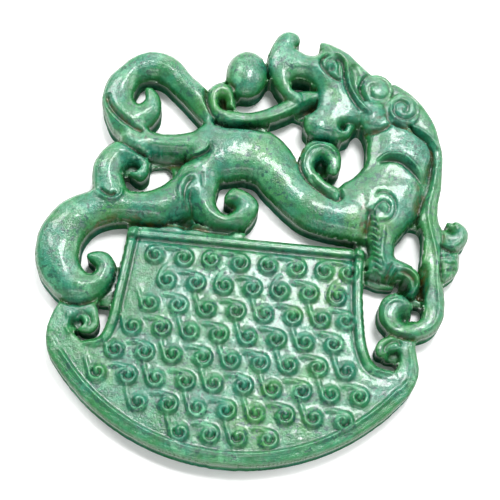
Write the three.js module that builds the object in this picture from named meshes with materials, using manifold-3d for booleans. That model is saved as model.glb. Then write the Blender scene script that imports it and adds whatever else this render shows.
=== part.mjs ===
// A pierced jade carving: a dragon curls over an axe blade, and both are cut from one flat slab.
// It lies on its flat back. X runs along the blade's top edge, Y up its axis, and Z out of the carved face.
// Shares are hundredths of WIDTH, measured from a point on the blade's axis just under its top edge.
// Heights, rims and grain are millimetres of their own.
import * as THREE from "three";
import { mergeVertices } from "three/addons/utils/BufferGeometryUtils.js";
import Module from "manifold-3d";

// Driving dimensions in millimetres
const WIDTH = 70;
const FIELD_Z = 4.0;
const RIM_RISE = 0.7;
const RECESS_Z = 2.2;
const GRAIN_RADIUS = 1.25;
const GRAIN_RISE = 0.55;
const GRAIN_PITCH = 4.62;
const GRAIN_ROW_STEP = 4.1;
const RIM_WIDTH = 1.6;
const LEDGE = 0.2;
const STATION_SPACING = 2.3;
const SUNK = 0.4;
const BELOW = 1;

// Each form's wall at its edge, its crown along the middle, and how far up the axis it is set, as a share
const HEIGHTS = {
  tail: { edge: 3.2, crown: 5.2, up: 0.9 },
  leaf: { edge: 4.0, crown: 5.4, up: 0.53 },
  curl: { edge: 3.4, crown: 5.0, up: 0.8 },
  lobe: { edge: 3.7, crown: 5.8, up: 0.4 },
  scroll: { edge: 3.8, crown: 5.0, up: 0.6 },
  body: { edge: 4.2, crown: 6.2, up: 0.5 },
  neck: { edge: 4.0, crown: 6.1, up: 0.4 },
  tongue: { edge: 3.8, crown: 4.8, up: 0.8 },
  chest: { edge: 3.8, crown: 5.1, up: 0.6 },
  mane: { edge: 3.83, crown: 5.02, up: 0.33 },
  leg: { edge: 4.23, crown: 5.6, up: 0.41 },
  paw: { edge: 3.6, crown: 4.6, up: 0.2 },
  wing: { edge: 4.12, crown: 4.9, up: 0 },
  claw: { edge: 3.7, crown: 4.9, up: 0.2 },
  leafTip: { edge: 3.2, crown: 4.3, up: 0.6 },
  snout: { edge: 4.12, crown: 6.0, up: 0.83 },
  head: { edge: 4.5, crown: 6.6, up: 0.6 },
  ear: { edge: 4.27, crown: 5.9, up: 0.62 },
  pearl: { edge: 3.6, crown: 5.8, up: 0.8 },
  floor: { edge: RECESS_Z, crown: RECESS_Z + 0.3, up: 0 },
};

const JADE = new THREE.MeshStandardMaterial({
  color: 0x5c9c78,
  roughness: 0.25,
  metalness: 0,
});

const wasm = await Module();
wasm.setup();

// A share of the width in millimetres.
const mm = (share) => (share * WIDTH) / 100;

// A closed geometry as a manifold solid, turned outwards where its faces point in.
function solid(geometry) {
  const plain = geometry.index ? geometry.toNonIndexed() : geometry.clone();
  plain.deleteAttribute("normal");
  plain.deleteAttribute("uv");
  const merged = mergeVertices(plain, 1e-4);
  const corners = merged.attributes.position;
  const triVerts = new Uint32Array(merged.index.array);
  let volume = 0;
  const [a, b, c] = [0, 1, 2].map(() => new THREE.Vector3());
  for (let i = 0; i < triVerts.length; i += 3) {
    a.fromBufferAttribute(corners, triVerts[i]);
    b.fromBufferAttribute(corners, triVerts[i + 1]);
    c.fromBufferAttribute(corners, triVerts[i + 2]);
    volume += a.dot(b.cross(c));
  }
  if (volume < 0) triVerts.reverse();
  return new wasm.Manifold(
    new wasm.Mesh({ numProp: 3, vertProperties: corners.array, triVerts }),
  );
}

// A smooth rail through points given in shares.
const rail = (points, up = 0, closed = false) =>
  new THREE.CatmullRomCurve3(
    points.map(([x, y]) => new THREE.Vector3(mm(x), mm(y + up), 0)),
    closed,
    "centripetal",
  );

// The rungs that round off an end: first is the end rung, second its neighbour inside the form.
function roundOff([x1, y1, x2, y2], [a1, b1, a2, b2]) {
  const [mx, my] = [(x1 + x2) / 2, (y1 + y2) / 2];
  const away = new THREE.Vector2(mx - (a1 + a2) / 2, my - (b1 + b2) / 2).normalize();
  const half = [(x2 - x1) / 2, (y2 - y1) / 2];
  const reach = Math.hypot(...half) * 0.8;
  return [30, 56, 78].map((degrees) => {
    const turn = THREE.MathUtils.degToRad(degrees);
    const [cx, cy] = [mx + away.x * reach * Math.sin(turn), my + away.y * reach * Math.sin(turn)];
    const [hx, hy] = half.map((h) => h * Math.cos(turn));
    return [cx - hx, cy - hy, cx + hx, cy + hy];
  });
}

// The rungs of a form with its start, its end or both rounded.
function rounded(rungs, { start = false, end = false }) {
  const last = rungs.length - 1;
  return [
    ...(start ? roundOff(rungs[0], rungs[1]).reverse() : []),
    ...rungs,
    ...(end ? roundOff(rungs[last], rungs[last - 1]) : []),
  ];
}

// The places across a band, from one edge to the other, and how far each rises to the crown.
const ACROSS = [
  [0, 0],
  [0.2, 0.62],
  [0.5, 1],
  [0.8, 0.62],
  [1, 0],
];

// A carved band between two edges: each rung [x1, y1, x2, y2] reaches across it.
function band(rungs, { edge, crown, up = 0 }) {
  const one = rail(rungs.map((r) => [r[0], r[1]]), up);
  const other = rail(rungs.map((r) => [r[2], r[3]]), up);
  const spans = rungs.length - 1;
  const stations = [];
  for (let i = 0; i < spans; i++) {
    const reach = Math.max(
      one.getPoint(i / spans).distanceTo(one.getPoint((i + 1) / spans)),
      other.getPoint(i / spans).distanceTo(other.getPoint((i + 1) / spans)),
    );
    const parts = Math.max(1, Math.round(reach / STATION_SPACING));
    for (let k = 0; k < parts; k++) stations.push((i + k / parts) / spans);
  }
  stations.push(1);
  const positions = [];
  const rows = stations.map((t) => {
    const p = one.getPoint(t);
    const q = other.getPoint(t);
    const half = p.distanceTo(q) / 2;
    const top = edge + Math.min(crown - edge, half);
    const row = [new THREE.Vector3(p.x, p.y, -BELOW)];
    for (const [share, rise] of ACROSS)
      row.push(p.clone().lerp(q, share).setZ(edge + (top - edge) * rise));
    row.push(new THREE.Vector3(q.x, q.y, -BELOW));
    return row;
  });
  const count = rows[0].length;
  const face = (...corners) =>
    corners.forEach((v) => positions.push(v.x, v.y, v.z));
  for (let s = 0; s + 1 < rows.length; s++)
    for (let k = 0; k < count; k++) {
      const next = (k + 1) % count;
      face(rows[s][k], rows[s][next], rows[s + 1][next]);
      face(rows[s][k], rows[s + 1][next], rows[s + 1][k]);
    }
  const last = rows.length - 1;
  for (let k = 1; k + 1 < count; k++) {
    face(rows[0][0], rows[0][k + 1], rows[0][k]);
    face(rows[last][0], rows[last][k], rows[last][k + 1]);
  }
  const geometry = new THREE.BufferGeometry();
  geometry.setAttribute(
    "position",
    new THREE.Float32BufferAttribute(positions, 3),
  );
  return solid(geometry);
}

// A low dome on an oval foot, with its place and radii as shares.
function dome(x, y, rx, ry, { edge, crown, up }, sides = 20) {
  const profile = [
    new THREE.Vector2(0, -BELOW),
    new THREE.Vector2(1, -BELOW),
    new THREE.Vector2(1, edge),
    new THREE.Vector2(0.72, edge + (crown - edge) * 0.7),
    new THREE.Vector2(0, crown),
  ];
  const turned = new THREE.LatheGeometry(profile, sides);
  turned.rotateX(Math.PI / 2);
  turned.scale(mm(rx), mm(ry), 1);
  turned.translate(mm(x), mm(y + up), 0);
  return solid(turned);
}

// How far each ring of a mound stands in from its outline, and how much of its rise it has
const MOUND_RINGS = [
  [1, 0],
  [0.9, 0.5],
  [0.68, 0.86],
  [0.3, 1],
];

// A domed plate inside a closed outline that its middle sees all round.
function mound(outline, [cx, cy], { edge, crown, up = 0 }) {
  const steps = outline.length * 2;
  const edgeLine = rail(outline, up, true).getPoints(steps).slice(0, steps);
  const centre = new THREE.Vector3(mm(cx), mm(cy + up), 0);
  const ringAt = (share, z) =>
    edgeLine.map((p) => centre.clone().lerp(p, share).setZ(z));
  const rings = [
    ringAt(1, -BELOW),
    ...MOUND_RINGS.map(([share, rise]) => ringAt(share, edge + (crown - edge) * rise)),
  ];
  const positions = [];
  const face = (...corners) =>
    corners.forEach((v) => positions.push(v.x, v.y, v.z));
  const foot = centre.clone().setZ(-BELOW);
  const peak = centre.clone().setZ(crown);
  for (let i = 0; i < steps; i++) {
    const j = (i + 1) % steps;
    face(foot, rings[0][j], rings[0][i]);
    for (let k = 0; k + 1 < rings.length; k++) {
      face(rings[k][i], rings[k][j], rings[k + 1][j]);
      face(rings[k][i], rings[k + 1][j], rings[k + 1][i]);
    }
    const top = rings[rings.length - 1];
    face(top[i], top[j], peak);
  }
  const geometry = new THREE.BufferGeometry();
  geometry.setAttribute("position", new THREE.Float32BufferAttribute(positions, 3));
  return solid(geometry);
}

// The tail loops up and left, and its tip curls back inside the loop.
function tail() {
  const rungs = [
    [-10.5, 35.5, -12.5, 29.5],
    [-14.7, 40, -19.2, 36.1],
    [-18.6, 43.4, -22, 38.6],
    [-21.3, 46.4, -23.9, 40.3],
    [-24.8, 48.2, -26, 41.4],
    [-28.5, 48.5, -28.2, 41.5],
    [-32.3, 46.8, -30.2, 40.6],
    [-35.4, 43.7, -31.1, 38.6],
    [-37.8, 40.6, -31.6, 36.8],
    [-38.8, 36.8, -31.4, 35.3],
    [-38.8, 33.8, -30.7, 34.3],
    [-37.5, 30.5, -30.2, 34],
    [-33.5, 27.8, -29.7, 34.1],
    [-28.5, 27.5, -29.1, 34.5],
    [-25.6, 31, -28.6, 35.1],
    [-25.2, 34, -28.5, 36],
    [-26, 36.6, -28.7, 37],
    [-27.2, 38.2, -28.8, 37.9],
  ];
  return band(rounded(rungs, { end: true }), HEIGHTS.tail);
}

// The hind part of the body lies over the tail as a long leaf that ends in a point.
function leaf() {
  const rungs = [
    [-13.5, 29.5, -13.8, 23.8],
    [-17.5, 28.1, -17, 22.2],
    [-21, 27.3, -21, 21.9],
    [-25, 27.3, -25, 21.9],
    [-28.5, 28.7, -29, 22.9],
    [-31.8, 30.3, -32.8, 25],
    [-34.5, 32.2, -35.8, 27.5],
    [-36.7, 34.9, -37.6, 30.8],
    [-37.9, 37.3, -38.5, 35],
  ];
  return band(rounded(rungs, { start: true }), HEIGHTS.leaf);
}

// The curl under the leaf turns in on itself.
function leftCurl() {
  const rungs = [
    [-38, 10.5, -29.5, 10.5],
    [-38.6, 13.5, -31, 13.2],
    [-38.9, 16, -31.9, 15.6],
    [-38.2, 19, -31.9, 17.3],
    [-36.5, 21.9, -31.2, 18.5],
    [-33.3, 24.2, -30.2, 19],
    [-29, 23.5, -29, 19],
    [-26.8, 21, -28.2, 18.5],
    [-26.3, 18, -27.9, 17.6],
    [-26.6, 15.9, -28.3, 16.8],
    [-27.8, 14.8, -29, 16.6],
    [-29.3, 15.3, -29.7, 16.6],
  ];
  return band(rounded(rungs, { start: true, end: true }), HEIGHTS.curl);
}

// The big lobe on the left swells outwards and hooks back towards the blade.
function leftLobe() {
  const rungs = [
    [-15.2, 22.6, -11.6, 11],
    [-18, 19.6, -15.6, 7.6],
    [-20.3, 15.6, -19.2, 6.1],
    [-22.5, 13.6, -21.5, 4.6],
    [-25.5, 12.1, -25, 4.5],
    [-29, 11.7, -28.5, 4.7],
    [-33, 11.6, -31.5, 4.5],
    [-37.5, 11.1, -34.5, 3.6],
    [-41.5, 9.6, -36.8, 2.2],
    [-45, 7.2, -38.3, 0.2],
    [-47.6, 3.6, -39.2, -1.8],
    [-49, -0.5, -39.5, -4],
    [-49.1, -5, -39.4, -6.1],
    [-48, -9.6, -38.7, -7.9],
    [-45.9, -13, -37.6, -9.2],
    [-43.2, -15.4, -36.6, -9.7],
    [-39.5, -16.6, -35.8, -9.6],
    [-35.3, -15.6, -35.2, -9.2],
    [-32.6, -13.2, -34.9, -8.4],
    [-31.3, -10, -35, -7.6],
    [-31, -7, -35.4, -7.1],
    [-32.2, -4.7, -36, -6.8],
    [-34.6, -3.9, -36.7, -6.4],
    [-36.6, -4.4, -37.2, -5.7],
  ];
  return band(rounded(rungs, { start: true, end: true }), HEIGHTS.lobe);
}

// The scroll under the belly comes down from the body and coils up again.
function bellyScroll() {
  const rungs = [
    [-15, 20, -9, 19],
    [-15.6, 15.5, -8.8, 15.5],
    [-15.9, 12, -9.3, 12],
    [-14.8, 8.7, -8.9, 9.9],
    [-12.4, 6.1, -8, 8.7],
    [-9, 5, -7, 8],
    [-5, 4.9, -6, 8],
    [-1.8, 5.7, -5, 8.8],
    [0, 8.5, -4.5, 9.8],
    [0.3, 11.5, -4.4, 10.6],
    [-1.3, 13.3, -4.9, 10.9],
    [-3.6, 14.8, -5.5, 11],
    [-5.6, 14.8, -6, 11],
    [-6.8, 13, -6.3, 11.2],
  ];
  return band(rounded(rungs, { end: true }), HEIGHTS.scroll);
}

// The body arches from the tail to the shoulder.
function body() {
  const rungs = [
    [-11.5, 30.7, -13, 19.2],
    [-8, 31, -8.5, 17.2],
    [-3, 31.2, -4, 18],
    [2.3, 30.2, -0.5, 17.6],
    [6, 27.7, 2.2, 15.9],
    [9, 24, 5, 13.5],
    [12, 19.5, 8, 10.8],
    [16, 17.5, 12, 8.1],
    [20.5, 17.5, 17, 6.7],
    [25, 19.5, 22.5, 6],
    [29, 21, 27, 5.7],
  ];
  return band(rounded(rungs, { start: true }), HEIGHTS.body);
}

// The neck drops from the head to the shoulder, between the throat and the mane.
function neck() {
  const rungs = [
    [21.5, 42, 37, 40],
    [24, 36, 39.4, 35.2],
    [26.2, 31.5, 41.9, 31.2],
    [26.4, 28, 42.3, 27],
    [25.5, 24.2, 41.8, 22],
    [23.2, 20.8, 40.5, 17],
    [20.3, 18.3, 38.7, 12.5],
    [19, 12, 36.3, 10.3],
    [22.8, 6.4, 34.4, 8.3],
  ];
  return band(rungs, HEIGHTS.neck);
}

// The tongue leaves the mouth and ends in a small curl under the pearl.
function tongue() {
  const rungs = [
    [12, 42, 11, 38.8],
    [8.6, 41.2, 8.6, 37.2],
    [5, 39, 6, 35.2],
    [1, 36.7, 2, 33.3],
    [-3, 35.3, -3, 32.5],
    [-7, 35.2, -7.5, 32],
    [-9.4, 35.4, -11.4, 33.2],
    [-10.5, 36.2, -13.2, 36],
    [-10.9, 37.4, -13.7, 38.8],
    [-10.8, 38.4, -13, 41],
    [-10.2, 38.9, -10.8, 42.6],
    [-9.5, 38.7, -8.3, 41.6],
    [-9.2, 38.1, -7.4, 39.4],
    [-9, 37.5, -7, 37.6],
    [-8.9, 36.9, -6.6, 35.6],
  ];
  return band(rungs, HEIGHTS.tongue);
}

// The pearl sits between the tongue and the snout.
function pearl() {
  return dome(-4.7, 45.6, 5.1, 6.3, HEIGHTS.pearl);
}

// The curl at the chest.
function chestScroll() {
  const rungs = [
    [19, 14.5, 18.5, 17.8],
    [15.8, 16, 16.6, 18.6],
    [12.6, 18.4, 14.9, 20],
    [10.8, 20.8, 13.9, 21.6],
    [10, 23.5, 13.5, 23.2],
    [10.4, 26.5, 14, 24.5],
    [12.2, 28.9, 14.8, 25.2],
    [15, 29.4, 15.6, 25.2],
    [17.5, 28.2, 16.2, 24.6],
    [18.8, 25.6, 16.5, 23.6],
    [18.9, 23.3, 16.6, 22.7],
    [18.2, 21.9, 16.9, 22],
  ];
  return band(rounded(rungs, { start: true, end: true }), HEIGHTS.chest);
}

// The mane runs from behind the ears down the back to a coil beside the blade.
function mane() {
  const rungs = [
    [31.5, 47, 30, 44],
    [35.3, 44.2, 33, 41.5],
    [38.6, 40.9, 35, 37],
    [41.4, 36.8, 37, 34.7],
    [43, 33, 40, 32.6],
    [43.9, 29.6, 41.8, 29.4],
    [44.2, 25, 42, 25],
    [44, 20, 41.3, 20],
    [43.4, 15.5, 40, 15.5],
    [43.6, 12.5, 39.3, 12],
    [44.6, 9, 40.45, 9],
    [44.6, 5, 40.65, 5],
    [44.5, 0, 40.5, 0],
    [45.6, -5, 41.2, -4],
    [46, -8.5, 41, -8],
    [45.8, -12.3, 40.8, -10.6],
    [44.2, -15.2, 40.2, -12.6],
    [41.4, -17, 39, -13.5],
    [38, -17.3, 37.8, -13.8],
    [34.8, -16.3, 36.5, -13.6],
    [32.4, -14.2, 35.6, -12.8],
    [31.7, -11.6, 35.4, -11.6],
    [32.4, -9.2, 35.9, -10.6],
    [34.4, -7.5, 37, -10],
    [36.6, -7.5, 38, -10],
    [38.4, -9, 38.6, -10.3],
  ];
  return band(rungs, HEIGHTS.mane);
}

// A small curled leaf stands out from the mane on the right.
function sideLeaf() {
  const curl = [
    [42.5, 12, 41, 7],
    [45, 9.9, 44.2, 5.6],
    [46.6, 9.4, 46.8, 4.4],
    [47.6, 9.7, 49.3, 5.2],
    [47.8, 10.2, 50.7, 8],
    [47.4, 10.6, 50.5, 10.6],
    [46.9, 10.8, 49, 12.3],
    [46.3, 10.8, 47.3, 12.4],
    [45.8, 10.8, 45.9, 11.4],
  ];
  const blade = [
    [43, 7.5, 49, 6.2],
    [43.8, 4, 49.2, 3.5],
    [44.3, 1, 49.3, 1],
    [44.6, -1.2, 48.4, -1],
    [45, -3, 46.3, -2.9],
  ];
  return band(curl, HEIGHTS.curl).add(band(blade, HEIGHTS.leafTip));
}

// The foreleg drops from the shoulder to a paw that grips the mane's coil.
function leg() {
  const shank = [
    [27, 14, 37.5, 12],
    [27.8, 9.5, 35.5, 9.3],
    [28.1, 5.5, 33.2, 5.6],
    [28.2, 2.5, 33, 2.6],
    [28.6, -0.7, 33.6, 0.6],
  ];
  const paw = [
    [27.8, 1.2, 27.7, -4.1],
    [31, 2, 31, -5.2],
    [34, 1.4, 34, -5],
    [37, 0.2, 36, -5],
    [39.3, -1, 37.5, -5],
    [40.3, -4, 37.8, -5.5],
    [39.8, -6.5, 37.6, -7.5],
  ];
  return band(shank, HEIGHTS.leg).add(
    band(rounded(paw, { end: true }), HEIGHTS.paw),
  );
}

// The head in profile: a domed plate with a horn, and a curled nose in front of it.
function head() {
  const nose = [
    [7.6, 54.6, 6.3, 53.4],
    [7.4, 56.4, 5.2, 53.2],
    [5.6, 57.8, 4.6, 52],
    [3.2, 57.4, 5.2, 50.2],
    [1.4, 54.8, 6.2, 48.6],
    [0.3, 51, 6.6, 46.8],
    [0.2, 47, 6.4, 45],
    [2.3, 43.2, 6.2, 43.5],
    [5.1, 39.7, 7.5, 41.7],
    [7.4, 38, 9.6, 40],
  ];
  const plate = [
    [6.3, 45.6],
    [4.4, 47.5],
    [4.4, 50.5],
    [6.4, 52.8],
    [9, 52],
    [11.7, 52],
    [12.3, 54.9],
    [14, 55.7],
    [18.2, 54.3],
    [22.5, 51],
    [26, 47.6],
    [29.5, 44],
    [30.5, 40],
    [27.5, 36.4],
    [24, 35],
    [21.8, 33.8],
    [20.4, 31.2],
    [16, 29.7],
    [12.5, 30],
    [10.5, 31.5],
    [9.9, 34.2],
    [10.6, 37.6],
    [11.8, 40.5],
    [12.2, 43.4],
    [9.8, 45.4],
  ];
  return band(rounded(nose, { start: true }), HEIGHTS.snout).add(
    mound(plate, [17, 45.5], HEIGHTS.head),
  );
}

// Two coiled ears behind the brow.
function ears() {
  const front = dome(27.4, 44.4, 4.3, 4.3, HEIGHTS.ear);
  const back = dome(33.4, 39.8, 4.7, 4.7, HEIGHTS.ear);
  return front.add(back);
}

// The claws at both ends of the blade hook inwards.
function claws() {
  const leftClaw = [
    [-33.8, -16.8, -39, -17.5],
    [-33.2, -19, -37.2, -19.2],
    [-33, -20.6, -36.6, -20.2],
    [-33.5, -22, -36.2, -20.9],
    [-34.8, -22.9, -36.4, -21.3],
    [-36.2, -23, -36.8, -21.6],
  ];
  const rightClaw = [
    [36, -16.6, 37.5, -19.5],
    [33.2, -17.6, 35.8, -20.2],
    [31.9, -18.9, 34.9, -20.6],
    [31.6, -20.3, 34.4, -20.9],
    [32, -21.4, 34, -21.4],
    [33, -22, 33.7, -21.8],
  ];
  return band(rounded(leftClaw, { end: true }), HEIGHTS.claw).add(
    band(rounded(rightClaw, { end: true }), HEIGHTS.claw),
  );
}

// The blade's cutting edge is an arc about this centre.
const ARC_X = -1.5;
const ARC_Y = 0.4;
const ARC_RADIUS = 50.8;
const TOP_Y = 3.3;
const TOP_LEFT = -28.8;
const TOP_RIGHT = 26.9;
const ARC_FROM = 214.5;
const ARC_TO = 326;

// The border's steps round the cutting edge: angle, and width as a multiple of the border's own
const BORDER_STEPS = 18;
const WING_TURN = 14;
const WING_SPREAD = 2.2;

// The two side edges of the blade, from the top corner down to the wing.
const LEFT_SIDE = [
  [TOP_LEFT, TOP_Y],
  [-29.6, -6],
  [-30.4, -14],
  [-31.1, -20],
  [-32.5, -23.6],
  [-36, -25],
];
const RIGHT_SIDE = [
  [TOP_RIGHT, TOP_Y],
  [27, -6],
  [27.7, -14],
  [28.9, -20.5],
  [31, -24.2],
  [35, -25.2],
];

// Millimetres as a share of the width.
const share = (length) => (length * 100) / WIDTH;

// A point on the cutting edge, or inside it by a depth in millimetres.
function onArc(degrees, depth = 0) {
  const turn = THREE.MathUtils.degToRad(degrees);
  const radius = ARC_RADIUS - share(depth);
  return [ARC_X + radius * Math.cos(turn), ARC_Y + radius * Math.sin(turn)];
}

// Rungs that run along an edge, from a ledge inside it to the border's inner line.
function alongEdge(points, inwards) {
  return points.map(([x, y], i) => {
    const [ax, ay] = points[Math.max(0, i - 1)];
    const [bx, by] = points[Math.min(points.length - 1, i + 1)];
    const length = Math.hypot(bx - ax, by - ay);
    const nx = (inwards * (ay - by)) / length;
    const ny = (inwards * (bx - ax)) / length;
    const [near, far] = [share(LEDGE), share(RIM_WIDTH)];
    return [x + nx * near, y + ny * near, x + nx * far, y + ny * far];
  });
}

// The blade as a flat plate up to its field.
function bladePlate() {
  const shape = new THREE.Shape();
  const side = (points) => rail(points).getPoints(points.length * 2);
  const cuttingEdge = [];
  const steps = 40;
  for (let i = 0; i <= steps; i++)
    cuttingEdge.push(onArc(ARC_FROM + ((ARC_TO - ARC_FROM) * i) / steps));
  const outline = [
    ...side(LEFT_SIDE).map((p) => [p.x, p.y]),
    ...cuttingEdge.map(([x, y]) => [mm(x), mm(y)]),
    ...side(RIGHT_SIDE)
      .reverse()
      .map((p) => [p.x, p.y]),
  ];
  outline.forEach(([x, y], i) => (i ? shape.lineTo(x, y) : shape.moveTo(x, y)));
  const plate = new THREE.ExtrudeGeometry(shape, {
    depth: FIELD_Z + BELOW,
    bevelEnabled: false,
    steps: 1,
  });
  plate.translate(0, 0, -BELOW);
  return solid(plate);
}

// The raised border round the field.
function bladeRim() {
  const height = { edge: FIELD_Z + RIM_RISE * 0.5, crown: FIELD_Z + RIM_RISE };
  const corner = share(LEDGE);
  const top = alongEdge(
    [
      [TOP_RIGHT - corner, TOP_Y],
      [TOP_LEFT + corner, TOP_Y],
    ],
    1,
  );
  return band(top, height)
    .add(band(alongEdge(LEFT_SIDE, 1), height))
    .add(band(alongEdge(RIGHT_SIDE, -1), height))
    .add(lowerBorder());
}

// The border of the cutting edge widens at both ends into the arms that carry the claws.
function lowerBorder() {
  const leftArm = [
    [-41, -15.5, -34, -16.5],
    [-42.5, -18, -37.2, -19.2],
    [-44, -20.6, -38.4, -20.8],
    [-44.4, -23, -38.6, -22.6],
    [-44.2, -25.5, -38, -24.2],
  ];
  const rightArm = [
    [40.3, -25.6, 36.2, -23.9],
    [40.5, -23.6, 36.5, -23],
    [40, -21, 36.6, -21.2],
    [39.8, -18.3, 35.5, -19.4],
    [41.5, -15.5, 34, -16.3],
  ];
  const edge = [];
  for (let i = 0; i <= BORDER_STEPS; i++) {
    const degrees = ARC_FROM + ((ARC_TO - ARC_FROM) * i) / BORDER_STEPS;
    const fromEnd = Math.min(degrees - ARC_FROM, ARC_TO - degrees);
    const spread = 1 + WING_SPREAD * Math.max(0, 1 - fromEnd / WING_TURN);
    edge.push([
      ...onArc(degrees, i % BORDER_STEPS ? LEDGE : -LEDGE),
      ...onArc(degrees, RIM_WIDTH * spread),
    ]);
  }
  return band([...leftArm, ...edge, ...rightArm], HEIGHTS.wing);
}

// The grain's rows: the first row's height, the shift of even and odd rows, and the bare margins
const GRAIN_ROWS = 8;
const FIRST_ROW = -2.9;
const EVEN_SHIFT = 4.6;
const ODD_SHIFT = 1.3;
const EDGE_MARGIN = 4.2;
const LEFT_LIMIT = -24.6;
const RIGHT_LIMIT = 23.7;
const FLARE_Y = -20;
const FLARE = 0.12;

// The places of the grain on the field: rows of small domes, each second row shifted by half a pitch.
function grainPlaces() {
  const places = [];
  for (let row = 0; row < GRAIN_ROWS; row++) {
    const y = FIRST_ROW - row * share(GRAIN_ROW_STEP);
    const shift = row % 2 ? ODD_SHIFT : EVEN_SHIFT;
    const flare = 1 + Math.max(0, FLARE_Y - y) * FLARE;
    for (let n = -6; n <= 5; n++) {
      const x = shift + n * share(GRAIN_PITCH);
      if (Math.hypot(x - ARC_X, y - ARC_Y) > ARC_RADIUS - EDGE_MARGIN) continue;
      if (x < LEFT_LIMIT * flare || x > RIGHT_LIMIT * flare) continue;
      places.push([x, y]);
    }
  }
  return places;
}

// One grain, with its foot sunk into the field.
function grainAt(x, y) {
  const profile = [
    new THREE.Vector2(0, FIELD_Z - SUNK),
    new THREE.Vector2(GRAIN_RADIUS, FIELD_Z - SUNK),
    new THREE.Vector2(GRAIN_RADIUS * 0.55, FIELD_Z + GRAIN_RISE),
    new THREE.Vector2(0, FIELD_Z + GRAIN_RISE),
  ];
  const turned = new THREE.LatheGeometry(profile, 8);
  turned.rotateX(Math.PI / 2);
  turned.translate(mm(x), mm(y), 0);
  return solid(turned);
}

function grain() {
  return grainPlaces()
    .map(([x, y]) => grainAt(x, y))
    .reduce((all, one) => all.add(one));
}

// Low ground that ties neighbouring forms together inside their grooves.
function ground() {
  const patches = [
    // between the blade and the forms above it
    [
      [-27.6, 6.5, -27.6, 1.5],
      [-14, 8, -14, 1.5],
      [-1.8, 6.6, -1.8, 1.8],
    ],
    // between the left hook and the blade
    [
      [-32.5, -6, -29, -6],
      [-33, -11, -29.5, -11],
      [-33.5, -15.5, -29.8, -15.3],
    ],
    // under the leaf
    [
      [-26.5, 24, -25.8, 20.6],
      [-21.5, 24, -20.8, 20.8],
      [-18.8, 24, -19.2, 14],
      [-12.6, 24, -13.6, 10],
    ],
    // between the tongue and the body
    [
      [-12, 34, -12, 28],
      [1.5, 34, 1.5, 29.5],
    ],
    // behind the mouth and the throat
    [
      [5, 43, 8, 34.5],
      [14, 44, 13, 33],
      [22, 40, 20, 33.5],
    ],
    // between the belly's right end, the leg and the blade
    [
      [25.5, 8, 25.5, 1.5],
      [29.5, 8, 29, 1.5],
    ],
    // between the paw, the mane and the coil
    [
      [37.5, 0, 34.5, -8],
      [42.5, 0, 41.5, -8.4],
    ],
    // between the chest scroll, the jaw and the body
    [
      [11.5, 31, 10.5, 27],
      [19.5, 31, 18, 27.5],
    ],
    [
      [8.7, 24.8, 9, 21],
      [11.5, 25, 11.5, 20],
    ],
    // the hollows of the scrolls
    [
      [-32.5, 21.5, -32, 17.2],
      [-27.5, 21.5, -27.8, 18],
    ],
    [
      [-39.5, -18, -39, -22.5],
      [-36, -18, -36.2, -21.5],
    ],
    [
      [33.4, -19.6, 33.3, -22.6],
      [37.5, -19, 37.3, -22.6],
    ],
    [
      [33.9, -10, 33.7, -14.3],
      [38.9, -10.3, 38.4, -14],
    ],
    [
      [12.5, 26, 13, 21.8],
      [17.5, 26, 17.3, 22.4],
    ],
    [
      [-12, 41, -12, 36.5],
      [-7.5, 41, -6.8, 36.6],
    ],
    // between the pearl, the tongue and the nose
    [
      [-10.2, 43, -7.5, 39.5],
      [-7, 45, -5, 41],
    ],
    [
      [-3, 50.6, -3, 45.8],
      [3, 51.2, 2.6, 46.2],
    ],
    // between the leg and the mane
    [
      [36, 13.5, 36.8, 11.2],
      [41, 14, 40.5, 10.8],
    ],
  ];
  return patches
    .map((rungs) => band(rungs, HEIGHTS.floor))
    .reduce((all, one) => all.add(one));
}

// Everything under the flat back is cut away.
function underTheBack() {
  const size = WIDTH * 2;
  const block = new THREE.BoxGeometry(size, size, 2 * BELOW);
  block.translate(0, 0, -BELOW);
  return solid(block);
}

function carving() {
  const forms = [
    ground(),
    bladePlate(),
    bladeRim(),
    grain(),
    claws(),
    leftLobe(),
    leftCurl(),
    tail(),
    leaf(),
    bellyScroll(),
    body(),
    neck(),
    chestScroll(),
    leg(),
    mane(),
    sideLeaf(),
    tongue(),
    pearl(),
    head(),
    ears(),
  ];
  return forms.reduce((all, form) => all.add(form)).subtract(underTheBack());
}

function toGeometry(manifold) {
  const mesh = manifold.getMesh();
  const geometry = new THREE.BufferGeometry();
  geometry.setAttribute(
    "position",
    new THREE.BufferAttribute(new Float32Array(mesh.vertProperties), 3),
  );
  geometry.setIndex(new THREE.BufferAttribute(new Uint32Array(mesh.triVerts), 1));
  geometry.computeVertexNormals();
  return geometry;
}

// The finished carving, moved so that its box is centred over the origin and its back is at z = 0.
const geometry = toGeometry(carving());
geometry.computeBoundingBox();
const middle = geometry.boundingBox.getCenter(new THREE.Vector3());
geometry.translate(-middle.x, -middle.y, 0);

const jadeCarving = new THREE.Mesh(geometry, JADE);
jadeCarving.name = "jade_carving";

const part = new THREE.Group();
part.add(jadeCarving);

export default part;
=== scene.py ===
"""Visual model of a pierced jade carving: a dragon with a pearl over an axe blade.

The carving is one slab of jade. Its front is a height map in the plan of the solid,
drawn from the same cross-wise rungs, with the finer carving cut into it.
Lengths are millimetres in the height map and metres in Blender.
"""

import math

import bpy
import numpy as np
from bpy.props import FloatProperty, FloatVectorProperty, PointerProperty
from bpy.types import Operator, Panel, PropertyGroup
from mathutils import Matrix, Vector


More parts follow.
